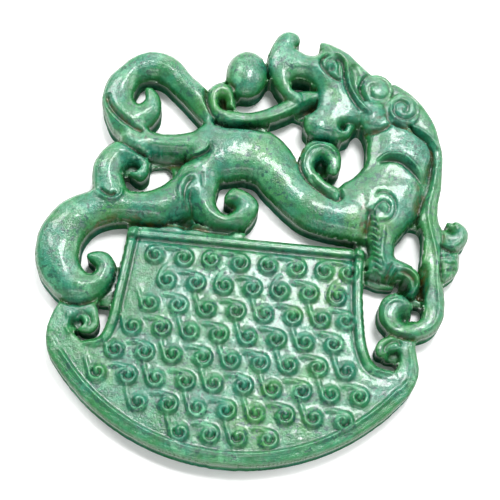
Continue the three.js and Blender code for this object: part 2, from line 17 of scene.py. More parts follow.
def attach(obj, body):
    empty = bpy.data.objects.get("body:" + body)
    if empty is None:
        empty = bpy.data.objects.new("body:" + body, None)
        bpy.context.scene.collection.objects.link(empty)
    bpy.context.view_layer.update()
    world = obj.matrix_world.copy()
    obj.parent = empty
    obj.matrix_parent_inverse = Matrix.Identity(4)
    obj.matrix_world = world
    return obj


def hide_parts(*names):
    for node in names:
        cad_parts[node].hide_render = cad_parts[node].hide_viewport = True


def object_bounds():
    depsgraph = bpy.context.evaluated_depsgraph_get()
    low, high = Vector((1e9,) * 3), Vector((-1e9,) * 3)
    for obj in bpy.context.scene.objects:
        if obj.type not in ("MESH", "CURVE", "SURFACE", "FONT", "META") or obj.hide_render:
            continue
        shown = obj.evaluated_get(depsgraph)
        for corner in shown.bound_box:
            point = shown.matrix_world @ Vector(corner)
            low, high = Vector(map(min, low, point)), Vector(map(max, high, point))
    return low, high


bl_info = {
    "name": "Pierced jade carving",
    "version": (1, 0, 0),
    "blender": (4, 5, 0),
    "location": "View3D > Sidebar > Jade",
    "description": "Builds a pierced jade carving and its stage",
    "category": "Add Mesh",
}

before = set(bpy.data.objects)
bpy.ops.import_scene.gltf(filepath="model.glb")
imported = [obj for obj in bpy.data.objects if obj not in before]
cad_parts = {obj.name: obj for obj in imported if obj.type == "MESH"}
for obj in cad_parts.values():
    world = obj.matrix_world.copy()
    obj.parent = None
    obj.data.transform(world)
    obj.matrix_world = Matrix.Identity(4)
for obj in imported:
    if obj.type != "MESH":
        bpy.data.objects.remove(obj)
NODE = "jade_carving"
CAD_LOW, CAD_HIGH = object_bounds()

MM = 0.001
# One share of the plan, a hundredth of the carving's width, in millimetres
UNIT = 0.7
# The cutting edge's circle, in shares
ARC_X, ARC_Y, ARC_RADIUS = -1.5, 0.4, 50.8
# The middle of the solid in the plan, in millimetres
MIDDLE_X = 0.56
MIDDLE_Y = (ARC_Y - ARC_RADIUS) * UNIT - CAD_LOW.y / MM
# Where the visual mesh is thinned to, with its walls left alone
MOST_TRIANGLES = 190000
# Heights of the rows between the top and the foot of a wall, as shares of its height
WALL_ROWS = (0.9, 0.5)
# Neighbours of a cell in the height map, by row and column
BESIDE = ((1, 0), (-1, 0), (0, 1), (0, -1))
CORNERS = ((1, 1), (1, -1), (-1, 1), (-1, -1))
# The picture: its width in pixels, how many of them show a millimetre, and the camera's
# distance and sensor in millimetres
PICTURE_WIDTH, PIXELS_PER_MM = 500.0, 6.14
VIEW_DISTANCE, SENSOR_WIDTH = 230.0, 36.0

# How far up from its rungs each form of a plate is set, in shares
UPWARD = {
    "tail": 0.9,
    "leaf": 0.53,
    "curl": 0.8,
    "lobe": 0.4,
    "scroll": 0.6,
    "body": 0.5,
    "neck": 0.4,
    "leg": 0.41,
    "paw": 0.2,
    "chest": 0.6,
    "mane": 0.33,
}
# Each plate's wall at its edge, the rise of its crown, how far in it goes on rising, the width of
# its bevel, and how much lower the edge lies on its lower side, in millimetres
PLATES = {
    "trunk": (3.9, 2.1, 4.4, 0.9, 1.1),
    "chest": (4.2, 1.1, 1.8, 0.7, 0.4),
    "side_curl": (3.6, 1.2, 2.0, 0.6, 0.6),
    "mane": (3.95, 0.85, 2.0, 0.6, 0.5),
    "head": (4.5, 1.7, 3.4, 1.1, 0.5),
}
# Each band's or dome's wall at its edge and its crown in millimetres, and how far up it is set
HEIGHTS = {
    "tongue": (3.8, 4.8, 0.8),
    "leaf_tip": (3.2, 4.3, 0.6),
    "pearl": (3.6, 5.8, 0.8),
    "back_ear": (5.0, 5.6, 0.0),
    "front_ear": (5.0, 5.7, 0.0),
    "cheek": (5.0, 6.3, 0.0),
    "border_shoulder": (3.7, 4.2, 0.0),
    "floor": (2.2, 2.4, 0.0),
}


def linear(hex_colour):
    """An sRGB hex colour as a linear RGBA tuple."""
    values = [int(hex_colour[i : i + 2], 16) / 255 for i in (1, 3, 5)]
    return tuple(
        v / 12.92 if v <= 0.04045 else ((v + 0.055) / 1.055) ** 2.4 for v in values
    ) + (1.0,)


def colour_property(name, hex_colour, description):
    """A colour that can be changed in the panel, from an sRGB hex value."""
    return FloatVectorProperty(
        name=name,
        description=description,
        subtype="COLOR",
        size=4,
        min=0.0,
        max=1.0,
        default=linear(hex_colour),
    )


def length_property(name, millimetres, description):
    """A length that can be changed in the panel, from millimetres."""
    return FloatProperty(
        name=name,
        description=description,
        subtype="DISTANCE",
        unit="LENGTH",
        default=millimetres * MM,
        min=0.0,
        precision=5,
    )


class JadeSizes(PropertyGroup):
    """Sizes of the carving's relief."""

    cell: length_property("Cell", 0.15, "Spacing of the height map")
    field_height: length_property("Field height", 4.0, "Height of the blade's field")
    border_rise: length_property("Border rise", 0.7, "How far the border stands up")
    border_width: length_property("Border width", 1.6, "Width of the blade's border")
    grain_radius: length_property("Grain radius", 1.6, "Radius of one scroll")
    grain_pitch: length_property("Grain pitch", 4.62, "Distance of scrolls in a row")
    grain_row: length_property("Row step", 4.1, "Distance of one row to the next")
    arris: length_property("Arris", 0.45, "Rounding of the outer edges")


class JadeColours(PropertyGroup):
    """Colours of the stone and its stage."""

    pale: colour_property("Pale jade", "#74bb90", "Thin and milky places")
    green: colour_property("Green jade", "#14703f", "Main colour of the stone")
    blue: colour_property("Bluish jade", "#137259", "Cooler cloud in the stone")
    # Olive is the stone's warmer clouds, and also a painted glow of light through the thin edges
    # near the outline
    olive: colour_property("Olive jade", "#2f7a36", "Warmer cloud in the stone")
    fleck: colour_property("Fleck", "#06483a", "Small dark flecks")
    # Deep jade is the stone's darker mottle, and also painted shade in the recesses and on the
    # walls
    deep: colour_property("Deep jade", "#022d14", "Stone in the recesses")
    residue: colour_property("Residue", "#54491a", "Brown dust in the grooves")
    floor: colour_property("Floor", "#ffffff", "Paper under the carving")


class JadeStage(PropertyGroup):
    """The view on the carving."""

    tilt: FloatProperty(
        name="Tilt",
        description="How far the camera leans back from straight above",
        subtype="ANGLE",
        default=math.radians(20),
    )
    side: FloatProperty(
        name="Side",
        description="How far the camera leans to the left",
        subtype="ANGLE",
        default=math.radians(2.5),
    )
    roll: FloatProperty(
        name="Roll",
        description="Turn of the carving in the picture",
        subtype="ANGLE",
        default=math.radians(5),
    )
    distance: length_property("Distance", VIEW_DISTANCE, "From the camera to the carving")


# Forms, in shares. Where a point has four numbers it is a rung [x1, y1, x2, y2] that reaches
# across a band, and where it has two, a point of an outline.
TAIL = [
    [-10.5, 35.5, -12.5, 29.5], [-14.7, 40, -19.2, 36.1], [-18.6, 43.4, -22, 38.6],
    [-21.3, 46.4, -23.9, 40.3], [-24.8, 48.2, -26, 41.4], [-28.5, 48.5, -28.2, 41.5],
    [-32.3, 46.8, -30.2, 40.6], [-35.4, 43.7, -31.1, 38.6], [-37.8, 40.6, -31.6, 36.8],
    [-38.8, 36.8, -31.4, 35.3], [-38.8, 33.8, -30.7, 34.3], [-37.5, 30.5, -30.2, 34],
    [-33.5, 27.8, -29.7, 34.1], [-28.5, 27.5, -29.1, 34.5], [-25.1, 31, -28.6, 35.1],
    [-24.6, 34, -28.5, 36], [-25.4, 36.6, -28.7, 37], [-26.8, 38.2, -28.8, 37.9],
]
LEAF = [
    [-13.5, 29.5, -13.8, 23.8], [-17.5, 28.1, -17, 22.2], [-21, 27.3, -21, 21.9],
    [-25, 27.3, -25, 21.9], [-28.5, 28.7, -29, 22.9], [-31.8, 30.3, -32.8, 25],
    [-34.5, 32.2, -35.8, 27.5], [-36.7, 34.9, -37.6, 30.8], [-37.9, 37.3, -38.5, 35],
]
LEFT_CURL = [
    [-38, 10.5, -29.5, 10.5], [-38.6, 13.5, -31, 13.2], [-38.9, 16, -31.9, 15.6],
    [-38.2, 19, -31.9, 17.3], [-36.5, 21.9, -31.2, 18.5], [-33.3, 24.2, -30.2, 19],
    [-29, 23.5, -29, 19], [-26.4, 21, -28.2, 18.5], [-25.7, 18, -27.9, 17.6],
    [-26, 15.8, -28.3, 16.8], [-27.4, 14.5, -29, 16.6], [-29.3, 15.3, -29.7, 16.6],
]
LEFT_LOBE = [
    [-15.2, 22.6, -11.6, 11], [-18, 19.6, -15.6, 7.6], [-20.3, 15.6, -19.2, 6.1],
    [-22.5, 13.6, -21.5, 4.6], [-25.5, 12.1, -25, 4.5], [-29, 11.7, -28.5, 4.7],
    [-33, 11.6, -31.5, 4.5], [-37.5, 11.1, -34.5, 3.6], [-41.5, 9.6, -36.8, 2.2],
    [-45, 7.2, -38.3, 0.2], [-47.6, 3.6, -39.2, -1.8], [-49.3, -0.5, -39.5, -4],
    [-49.5, -5, -39.4, -6.1], [-48.4, -9.7, -38.7, -7.9], [-45.9, -13, -37.6, -9.2],
    [-43.2, -15.4, -36.6, -9.7], [-39.5, -16.6, -35.8, -9.6], [-35.3, -15.6, -35.2, -9.2],
    [-32.6, -13.2, -34.9, -8.4], [-31.3, -10, -35, -7.6], [-31, -7, -35.4, -7.1],
    [-32.2, -4.7, -36, -6.8], [-34.6, -3.9, -36.7, -6.4], [-36.6, -4.4, -37.2, -5.7],
]
BELLY_SCROLL = [
    [-15, 20, -9, 19], [-15.6, 15.5, -8.8, 15.5], [-15.9, 12, -9.3, 12], [-14.8, 8.7, -8.9, 9.9],
    [-12.4, 6.1, -8, 8.7], [-9, 5, -7, 8], [-5, 4.9, -6, 8], [-1.5, 5.5, -5, 8.8],
    [0.5, 8.3, -4.5, 9.8], [0.9, 11.5, -4.4, 10.6], [-0.9, 13.5, -4.9, 10.9],
    [-3.6, 14.8, -5.5, 11], [-5.6, 14.8, -6, 11], [-6.8, 13, -6.3, 11.2],
]
BODY = [
    [-11.5, 30.7, -13, 19.2], [-8, 31, -8.5, 17.2], [-3, 31.2, -4, 18], [2.3, 30.2, -0.5, 17.6],
    [6, 27.7, 1.8, 15.3], [9, 24, 4.5, 12.8], [12, 19.5, 7.6, 10.1], [16, 17.5, 11.7, 7.4],
    [20.5, 17.5, 16.8, 6], [25, 19.5, 22.4, 5.4], [29, 21, 27, 5.1],
]
NECK = [
    [21.5, 42, 37, 40], [23.6, 36, 39.4, 35.2], [25.6, 31.5, 41.9, 31.2], [26, 28, 42.3, 27],
    [25.5, 24.2, 41.8, 22], [23.2, 20.8, 40.5, 17], [20.3, 18.3, 38.7, 12.5],
    [19, 12, 36.3, 10.3], [22.8, 6.4, 34.4, 8.3],
]
TONGUE = [
    [13.6, 42.6, 12.8, 39.6], [10.4, 42.6, 10.3, 38.4], [7.6, 41.8, 8.2, 37], [5, 39.2, 6, 35.3],
    [1, 36.7, 2, 33.3], [-3, 35.3, -3, 32.5], [-7, 35.2, -7.5, 32], [-9.4, 35.4, -11.4, 33.2],
    [-10.5, 36.2, -13.2, 36], [-10.9, 37.4, -13.7, 38.8], [-10.8, 38.4, -13, 41],
    [-10.2, 38.9, -10.8, 42.6], [-9.5, 38.7, -8.3, 41.6], [-9.2, 38.1, -7.4, 39.4],
    [-9, 37.5, -7, 37.6], [-8.9, 36.9, -6.6, 35.6],
]
CHEST_SCROLL = [
    [19, 14.5, 18.5, 17.8], [15.8, 16, 16.6, 18.6], [12.6, 18.4, 14.9, 20],
    [10.8, 20.8, 13.9, 21.6], [10, 23.5, 13.5, 23.2], [10.4, 26.5, 14, 24.5],
    [12.2, 28.9, 14.8, 25.2], [15, 29.4, 15.6, 25.2], [18.1, 28.4, 16.4, 24.6],
    [19.6, 25.6, 16.7, 23.6], [19.7, 23.1, 16.8, 22.7], [19, 21.5, 17.2, 22],
]
MANE = [
    [31.5, 47, 30, 44], [35.5, 44.7, 33, 41.5], [38.9, 41.3, 35, 37], [41.7, 37.1, 37, 34.7],
    [43, 33, 40, 32.6], [43.9, 29.6, 41.8, 29.4], [44.2, 25, 42, 25], [44, 20, 41.3, 20],
    [43.4, 15.5, 40, 15.5], [43.6, 12.5, 39.3, 12], [44.6, 9, 40.45, 9], [44.6, 5, 40.65, 5],
    [44.5, 0, 40.5, 0], [45.6, -5, 41.3, -4], [46, -8.5, 41.5, -8.2], [45.8, -12.3, 41.4, -11],
    [44.2, -15.2, 40.6, -13.2], [41.4, -17, 39, -13.5], [38, -17.3, 37.8, -13.8],
    [34.4, -16.6, 36.5, -13.6], [31.7, -14.4, 35.6, -12.8], [31, -11.6, 35.4, -11.6],
    [31.7, -9, 35.9, -10.6], [34, -7.2, 37, -10], [36.6, -7.5, 38, -10], [38.4, -9, 38.6, -10.3],
]
SIDE_CURL = [
    [41.5, 8.4], [43.4, 11.4], [44.8, 10.1], [46.2, 9.8], [46.8, 10.4], [45.9, 11], [45.8, 12],
    [46.6, 12.3], [47.2, 11.8], [48, 12.6], [49.2, 12.2], [50.8, 10.6], [51.1, 8.4], [50.2, 6.4],
    [48, 5.1], [46, 5.5], [43.8, 6.8],
]
SIDE_CURL_RIM = [[42.4, 8], [44.6, 6.9], [47, 6.1], [49, 7.2], [49.7, 9.2], [49, 11.2]]
SIDE_LEAF = [
    [43, 7.5, 49, 6.2], [43.8, 4, 49.2, 3.5], [44.3, 1, 49.3, 1], [44.6, -1.2, 48.4, -1],
    [45, -3, 46.3, -2.9],
]
SHANK = [
    [27, 14, 37.5, 12], [27.8, 9.5, 36.1, 9.2], [28.1, 5.5, 33.9, 5.6], [28.2, 2.5, 33.6, 2.6],
    [28.6, -0.7, 33.6, 0.6],
]
PAW = [
    [27.8, 1.2, 27.7, -2.7], [31, 1.8, 31, -3.6], [33.6, 1.4, 33.6, -3.5], [36, 0.7, 35.2, -3],
    [38.4, -0.4, 36.6, -3], [40, -1.9, 37.5, -3.7], [40.4, -3.7, 37.8, -4.7],
    [40, -5.6, 37.8, -5.7], [38.9, -6.9, 37.6, -6.3],
]
HEAD_OUTLINE = [
    [0.2, 50.6], [0.5, 52.4], [1.3, 54.6], [2.5, 56.6], [4, 57.6], [5.5, 57.6], [6.9, 56.9],
    [7.6, 55.4], [7.3, 54.3], [6.5, 53.4], [7.6, 52.6], [9.1, 51.9], [10.8, 51.6], [12, 52.1],
    [12.6, 53], [12.4, 54.8], [12.7, 55.6], [13.9, 55.6], [16, 55], [18.2, 54.1], [20.5, 52.6],
    [22.5, 50.6], [26, 47.6], [29.5, 44], [30.5, 40], [29, 37], [26, 35.2], [24, 34.6],
    [22.3, 33.1], [21.3, 30.8], [18.8, 29.6], [16, 29.7], [12.5, 30], [10.5, 31.5], [10.1, 34],
    [10.6, 36.2], [9.4, 38], [7.6, 38.4], [5.1, 39.6], [3.2, 41.8], [1.6, 44.4], [0.4, 47.4],
]
MOUTH = [
    [6.2, 43], [6.3, 44.6], [7.6, 45.6], [9.9, 45.5], [11.9, 44.3], [13.1, 42.2], [13.2, 40],
    [12.8, 37.8], [12, 36.6], [10.6, 36], [9.2, 37], [9.4, 39.4], [9, 41], [7.4, 41.8],
]
LEFT_CLAW = [
    [-33.8, -16.8, -39, -17.5], [-33.2, -19, -37.2, -19.2], [-33, -20.6, -36.6, -20.2],
    [-33.5, -22, -36.2, -20.9], [-34.8, -22.9, -36.4, -21.3], [-36.2, -23, -36.8, -21.6],
]
RIGHT_CLAW = [
    [36, -16.6, 37.5, -19.5], [32.6, -17.6, 35.8, -20.2], [31.2, -18.9, 34.9, -20.6],
    [30.9, -20.4, 34.4, -20.9], [31.4, -21.7, 34, -21.4], [33, -22, 33.7, -21.8],
]
LEFT_ARM = [
    [-40.8, -14, -34, -15], [-43, -17.6, -37.2, -19.2], [-44, -20.6, -38.4, -20.8],
    [-44.4, -23, -38.6, -22.6], [-44.2, -25.5, -38, -24.2],
]
RIGHT_ARM = [
    [40.3, -27.7, 36.1, -25], [40.9, -25.4, 36.3, -23.9], [40.8, -23.4, 36.5, -23],
    [40.2, -21, 36.6, -21.2], [39.8, -18.3, 35.5, -19.4], [41.5, -15.5, 34, -16.3],
]
LEFT_SIDE = [
    [-28.8, 3.3], [-29.6, -6], [-30.4, -14], [-31.1, -20], [-32.5, -23.6], [-36, -25],
]
RIGHT_SIDE = [
    [26.9, 3.3], [27, -6], [27.7, -14], [28.9, -20.5], [31, -24.2], [35, -25.2],
]
# Where the cutting edge starts and ends on its circle, in degrees
ARC_FROM, ARC_TO = 214.5, 323.0
# Thin raised lines inside the blade's borders and round its end curls
BLADE_LINES = (
    [[26.4, 2.4], [-1, 2.4], [-28, 2.4]],
    [[26.1, 2.4], [26.2, -6], [26.9, -14], [28.1, -20.8], [30.3, -25], [35, -26]],
    [[-28, 2.4], [-28.8, -6], [-29.6, -14], [-30.3, -20.3], [-31.8, -24.4], [-36, -25.8]],
    [[36.8, -16.4], [38.8, -17.6], [38.7, -20], [39.2, -23.4], [38.8, -26.4], [36.6, -30.4]],
    [[-40.4, -18.6], [-39.9, -20.4], [-40, -22.4], [-39.2, -23.8]],
)
CLAW_GROOVES = (
    [[36.4, -19.4], [36, -18.2], [34.4, -18.4], [33, -19.6], [32.8, -21]],
    [[-38.4, -19.6], [-37, -18.6], [-35.4, -19], [-34.8, -20.4], [-35.4, -21.6]],
)
# The border of the cutting edge widens over this many degrees, by this share
WING_TURN, WING_SPREAD = 14.0, 2.2
# Bands of low ground between the forms, which the grooves are cut down to
GROUND = [
    [[-27.6, 6.5, -27.6, 1.5], [-14, 8, -14, 1.5], [-1.8, 6.6, -1.8, 1.8]],
    [[-32.5, -6, -29, -6], [-33, -11, -29.5, -11], [-33.5, -15.5, -29.8, -15.3]],
    [
        [-26.5, 24, -25.8, 20.6], [-21.5, 24, -20.8, 20.8], [-18.8, 24, -19.2, 14],
        [-12.6, 24, -13.6, 10],
    ],
    [[-12, 34, -12, 28], [1.5, 34, 1.5, 29.5]],
    [[5, 43, 8, 37], [14, 44, 12, 36], [22, 40, 20, 34.5]],
    [[25.5, 8, 25.5, 1.5], [29.5, 8, 29, 1.5]],
    [[27.6, -1, 27.6, -4], [31, -1, 31, -5], [34.2, -1, 34.2, -4.8]],
    [[37.5, 0, 34.5, -8], [42.5, 0, 41.5, -8.4]],
    [[11.5, 31, 10.5, 27], [19.5, 31, 18, 27.5]],
    [[8.7, 24.8, 9, 21], [11.5, 25, 11.5, 20]],
    [[-32.5, 21.5, -32, 17.2], [-27.5, 21.5, -27.8, 18]],
    [[-39.5, -18, -39, -22.5], [-36, -18, -36.2, -21.5]],
    [[33.4, -19.6, 33.3, -22.6], [37.5, -19, 37.3, -22.6]],
    [[33.9, -10, 33.7, -14.3], [38.9, -10.3, 38.4, -14]],
    [[12.5, 26, 13, 21.8], [17.5, 26, 17.3, 22.4]],
    [[-12, 41, -12, 36.5], [-7.5, 41, -6.8, 36.6]],
    [[-10.2, 43, -7.5, 39.5], [-7, 45, -5, 41]],
    [[-3, 50.6, -3, 45.8], [3, 51.2, 2.6, 46.2]],
    [[36, 13.5, 36.8, 11.2], [41, 14, 40.5, 10.8]],
]


def spline(points, closed=False):
    """A function of 0..1 that runs smoothly through points, with centripetal spacing."""
    p = np.asarray(points, float)
    if closed:
        p = np.vstack([p[-1], p, p[0], p[1]])
    else:
        p = np.vstack([2 * p[0] - p[1], p, 2 * p[-1] - p[-2]])
    gaps = np.sqrt(np.linalg.norm(np.diff(p, axis=0), axis=1)).clip(1e-6)
    spans = len(p) - 3

    def at(t):
        t = np.clip(np.asarray(t, float), 0, 1) * spans
        k = np.minimum(t.astype(int), spans - 1)
        w = (t - k)[:, None]
        g0, g1, g2 = gaps[k][:, None], gaps[k + 1][:, None], gaps[k + 2][:, None]
        a, b, c, d = p[k], p[k + 1], p[k + 2], p[k + 3]
        m1 = ((b - a) / g0 - (c - a) / (g0 + g1) + (c - b) / g1) * g1
        m2 = ((c - b) / g1 - (d - b) / (g1 + g2) + (d - c) / g2) * g1
        return (
            (2 * w**3 - 3 * w**2 + 1) * b
            + (w**3 - 2 * w**2 + w) * m1
            + (-2 * w**3 + 3 * w**2) * c
            + (w**3 - w**2) * m2
        )

    return at


def round_off(end, inner):
    """Rungs that round off a band beyond its end rung."""
    end, inner = np.asarray(end, float), np.asarray(inner, float)
    middle = (end[:2] + end[2:]) / 2
    away = middle - (inner[:2] + inner[2:]) / 2
    away /= np.linalg.norm(away)
    half = (end[2:] - end[:2]) / 2
    reach = np.linalg.norm(half) * 0.8
    rungs = []
    for degrees in (20, 40, 56, 70, 82):
        turn = math.radians(degrees)
        centre = middle + away * reach * math.sin(turn)
        rungs.append([*(centre - half * math.cos(turn)), *(centre + half * math.cos(turn))])
    return rungs


def rounded(rungs, start=False, end=False):
    """The rungs of a form with its start, its end or both rounded."""
    first = round_off(rungs[0], rungs[1])[::-1] if start else []
    last = round_off(rungs[-1], rungs[-2]) if end else []
    return [*first, *rungs, *last]


def swell(inwards, width):
    """Share of a form's rise at a distance in from its edge: a round shoulder, then a crown."""
    widest_shoulder = 1.1
    shoulder = np.minimum(widest_shoulder, 0.5 * width).clip(1e-3)
    near = np.sqrt(1 - (1 - (inwards / shoulder).clip(0, 1)) ** 2)
    slow = 1 - (1 - (2 * inwards / width.clip(1e-3)).clip(0, 1)) ** 2
    return 0.5 * near + 0.5 * slow


def unevenness(x, y, waves, shortest, longest, seed):
    """A gentle hand-worked waviness of the surface, from -1 to 1."""
    draw = np.random.default_rng(seed)
    total = np.zeros_like(x)
    for _ in range(waves):
        length = draw.uniform(shortest, longest)
        heading, phase = draw.uniform(0, 2 * math.pi, 2)
        across = x * math.cos(heading) + y * math.sin(heading)
        total += np.cos(2 * math.pi * across / length + phase)
    return total / math.sqrt(2 * waves)


def softened(values, passes):
    """A grid of values after a small blur, done a number of times."""
    for _ in range(passes):
        for axis in (0, 1):
            values = (np.roll(values, 1, axis) + 2 * values + np.roll(values, -1, axis)) / 4
    return values


def on_arc(degrees, depth=0.0):
    """A point on the cutting edge, or inside it by a depth in millimetres."""
    turn = math.radians(degrees)
    radius = ARC_RADIUS - depth / UNIT
    return [ARC_X + radius * math.cos(turn), ARC_Y + radius * math.sin(turn)]


class Relief:
    """A height map of the front, in millimetres, over the plan of the solid."""

    def __init__(self, sizes):
        self.sizes = sizes
        self.cell = sizes.cell / MM
        margin = 6 * self.cell
        self.x0 = CAD_LOW.x / MM - margin
        self.y0 = CAD_LOW.y / MM - margin
        self.nx = int((CAD_HIGH.x / MM + margin - self.x0) / self.cell) + 1
        self.ny = int((CAD_HIGH.y / MM + margin - self.y0) / self.cell) + 1
        self.z = np.zeros((self.ny, self.nx))
        self.mask = np.zeros((self.ny, self.nx), bool)
        self.dust = np.zeros((self.ny, self.nx))
        xs = self.x0 + np.arange(self.nx) * self.cell
        ys = self.y0 + np.arange(self.ny) * self.cell
        self.X, self.Y = np.meshgrid(xs, ys)

    def place(self, points):
        """Shares as millimetres in the finished part."""
        p = np.asarray(points, float) * UNIT
        return p - np.array([MIDDLE_X, MIDDLE_Y])

    def splat(self, x, y, z):
        """Scattered heights averaged on the grid: the heights, and where there are any."""
        i = np.rint((x - self.x0) / self.cell).astype(int).ravel()
        j = np.rint((y - self.y0) / self.cell).astype(int).ravel()
        ok = (i >= 0) & (i < self.nx) & (j >= 0) & (j < self.ny)
        flat = j[ok] * self.nx + i[ok]
        size = self.nx * self.ny
        count = np.bincount(flat, minlength=size)
        total = np.bincount(flat, weights=z.ravel()[ok], minlength=size)
        height = np.where(count, total / np.maximum(count, 1), 0)
        return height.reshape(self.ny, self.nx), (count > 0).reshape(self.ny, self.nx)

    def band(self, rungs, heights):
        """Heights and region of a band with a rounded crown."""
        edge, crown, up = heights
        r = np.asarray(rungs, float)
        one = spline(self.place(r[:, :2] + [0, up]))
        other = spline(self.place(r[:, 2:] + [0, up]))
        coarse = np.linspace(0, 1, 40 * len(r))
        reach = max(
            np.linalg.norm(np.diff(side(coarse), axis=0), axis=1).sum()
            for side in (one, other)
        )
        fine = self.cell * 0.4
        rows = int(reach * 2.2 / fine)
        t = np.linspace(0, 1, rows)
        p, q = one(t), other(t)
        half = np.linalg.norm(q - p, axis=1) / 2
        across = int(2 * half.max() / fine) + 2
        u = np.linspace(0, 1, across)
        x = p[:, :1] * (1 - u) + q[:, :1] * u
        y = p[:, 1:] * (1 - u) + q[:, 1:] * u
        inwards = np.minimum(u, 1 - u)
        rise = np.minimum(crown - edge, 0.85 * half)[:, None]
        width = 2 * half[:, None]
        return self.splat(x, y, edge + rise * swell(inwards * width, width))

    def covered(self, rungs, up=0.0):
        """The region that a band covers."""
        return self.band(rungs, (0.0, 0.0, up))[1]

    def oval(self, x, y, rx, ry, heights):
        """Heights and region of a dome on an oval foot."""
        edge, crown, up = heights
        cx, cy = self.place([x, y + up])
        r = np.hypot((self.X - cx) / (rx * UNIT), (self.Y - cy) / (ry * UNIT))
        z = edge + (crown - edge) * (1 - r.clip(0, 1) ** 2) ** 0.62
        return z, r <= 1

    def inside(self, points):
        """The region inside a closed line given in millimetres."""
        p = np.asarray(points, float)
        hit = np.zeros_like(self.mask)
        for (ax, ay), (bx, by) in zip(p, np.roll(p, -1, axis=0)):
            if ay == by:
                continue
            crosses = (self.Y < ay) != (self.Y < by)
            hit ^= crosses & (self.X < ax + (self.Y - ay) * (bx - ax) / (by - ay))
        return hit

    def blend(self, form, soft=0.35):
        """Joins a form smoothly with what is there."""
        z, region = form
        both = region & self.mask
        diff = np.abs(self.z - z)
        smooth = np.maximum(self.z, z) + np.maximum(soft - diff, 0) ** 2 / (4 * soft)
        self.z = np.where(both, smooth, np.where(region, z, self.z))
        self.mask |= region

    def lay(self, form, depth, dust=0.4):
        """Lays a form over what is there, with a groove of a depth in millimetres along it."""
        z, region = form
        slope = 1.5
        ring_z = np.where(region, z, 0)
        reach = region.copy()
        for k in range(1, int(depth / slope / self.cell) + 3):
            best = ring_z.copy()
            for step in BESIDE:
                best = np.maximum(best, np.roll(ring_z, step, (0, 1)))
            grown = best > 0
            new = grown & ~reach
            floor = best - depth + slope * k * self.cell
            cut = new & self.mask & (self.z > floor)
            self.dust[cut] = np.maximum(self.dust[cut], dust)
            self.z = np.where(cut, floor, self.z)
            ring_z, reach = best, grown
        self.z = np.where(region, z, self.z)
        self.mask |= region

    def along(self, points, reach, up=0.0):
        """Distance to a smooth line, its share of the line, and the window they cover."""
        line = spline(self.place(np.asarray(points, float) + [0, up]))
        coarse = line(np.linspace(0, 1, 30 * len(points)))
        length = np.linalg.norm(np.diff(coarse, axis=0), axis=1).sum()
        steps = max(8, int(length / (self.cell * 0.6)))
        t = np.linspace(0, 1, steps)
        p = line(t)
        pad = int(reach / self.cell) + 2
        i = ((p[:, 0] - self.x0) / self.cell).astype(int)
        j = ((p[:, 1] - self.y0) / self.cell).astype(int)
        i0, i1 = max(0, i.min() - pad), min(self.nx, i.max() + pad + 1)
        j0, j1 = max(0, j.min() - pad), min(self.ny, j.max() + pad + 1)
        window = (slice(j0, j1), slice(i0, i1))
        X, Y = self.X[window], self.Y[window]
        distance = np.full(X.shape, 1e3)
        share = np.zeros(X.shape)
        for k in range(steps):
            a0, a1 = max(0, i[k] - pad - i0), max(0, i[k] + pad + 1 - i0)
            b0, b1 = max(0, j[k] - pad - j0), max(0, j[k] + pad + 1 - j0)
            box = (slice(b0, b1), slice(a0, a1))
            d = np.hypot(X[box] - p[k, 0], Y[box] - p[k, 1])
            near = d < distance[box]
            distance[box] = np.where(near, d, distance[box])
            share[box] = np.where(near, t[k], share[box])
        return distance, share, window

    def stroke(self, points, width, rise, up=0.0, taper=0.25, dust=0.0):
        """Raises or, with a negative rise, cuts a line of a given width."""
        d, s, window = self.along(points, 1.8 * width, up)
        ends = np.ones_like(s) if not taper else np.clip(np.minimum(s, 1 - s) / taper, 0, 1)
        ends = ends * (2 - ends)
        shape = np.exp(-((d / (0.6 * width)) ** 2)) * ends
        shape = np.where(self.mask[window], shape, 0)
        self.z[window] += rise * shape
        if dust:
            self.dust[window] = np.maximum(self.dust[window], dust * shape)

    def strokes(self, rows, up=0.0):
        """Raises and cuts lines in turn: each row has points, width, rise, taper and dust."""
        for points, width, rise, *more in rows:
            self.stroke(points, width, rise, up, *more)

    def ridge(self, points, half, rise):
        """Raises a line with a flat top."""
        d, s, window = self.along(points, 2.2 * half)
        ends = (np.minimum(s, 1 - s) / 0.06).clip(0, 1)
        shape = np.exp(-((d / (1.15 * half)) ** 4)) * ends
        self.z[window] += rise * np.where(self.mask[window], shape, 0)

    def around(self, x, y, reach):
        """Distance in millimetres to a place, and the window it covers."""
        cx, cy = self.place([x, y])
        pad = int(reach / self.cell) + 2
        i = int((cx - self.x0) / self.cell)
        j = int((cy - self.y0) / self.cell)
        window = (slice(max(0, j - pad), j + pad + 1), slice(max(0, i - pad), i + pad + 1))
        return np.hypot(self.X[window] - cx, self.Y[window] - cy), window

    def bump(self, x, y, radius, rise):
        """A small round knob."""
        r, window = self.around(x, y, 2 * radius)
        self.z[window] += rise * np.exp(-((r / radius) ** 2))

    def step(self, points, width, drop, side):
        """Cuts a one-sided step along a line, so that the form on its other side stands out."""
        taper = 0.2
        d, s, window = self.along(points, 2.2 * width)
        line = spline(self.place(points))
        here, ahead = line(s.ravel()), line(np.clip(s.ravel() + 0.01, 0, 1))
        behind = line(np.clip(s.ravel() - 0.01, 0, 1))
        tangent = ahead - behind
        offset = np.stack([self.X[window].ravel(), self.Y[window].ravel()], 1) - here
        turn = tangent[:, 0] * offset[:, 1] - tangent[:, 1] * offset[:, 0]
        on_side = (np.sign(turn) * side > 0).reshape(d.shape)
        ends = np.clip(np.minimum(s, 1 - s) / taper, 0, 1)
        fall = np.where(on_side, (1 - d / (2 * width)).clip(0, 1) ** 1.5, 0)
        shape = np.where(self.mask[window], fall * ends, 0)
        self.z[window] -= drop * shape

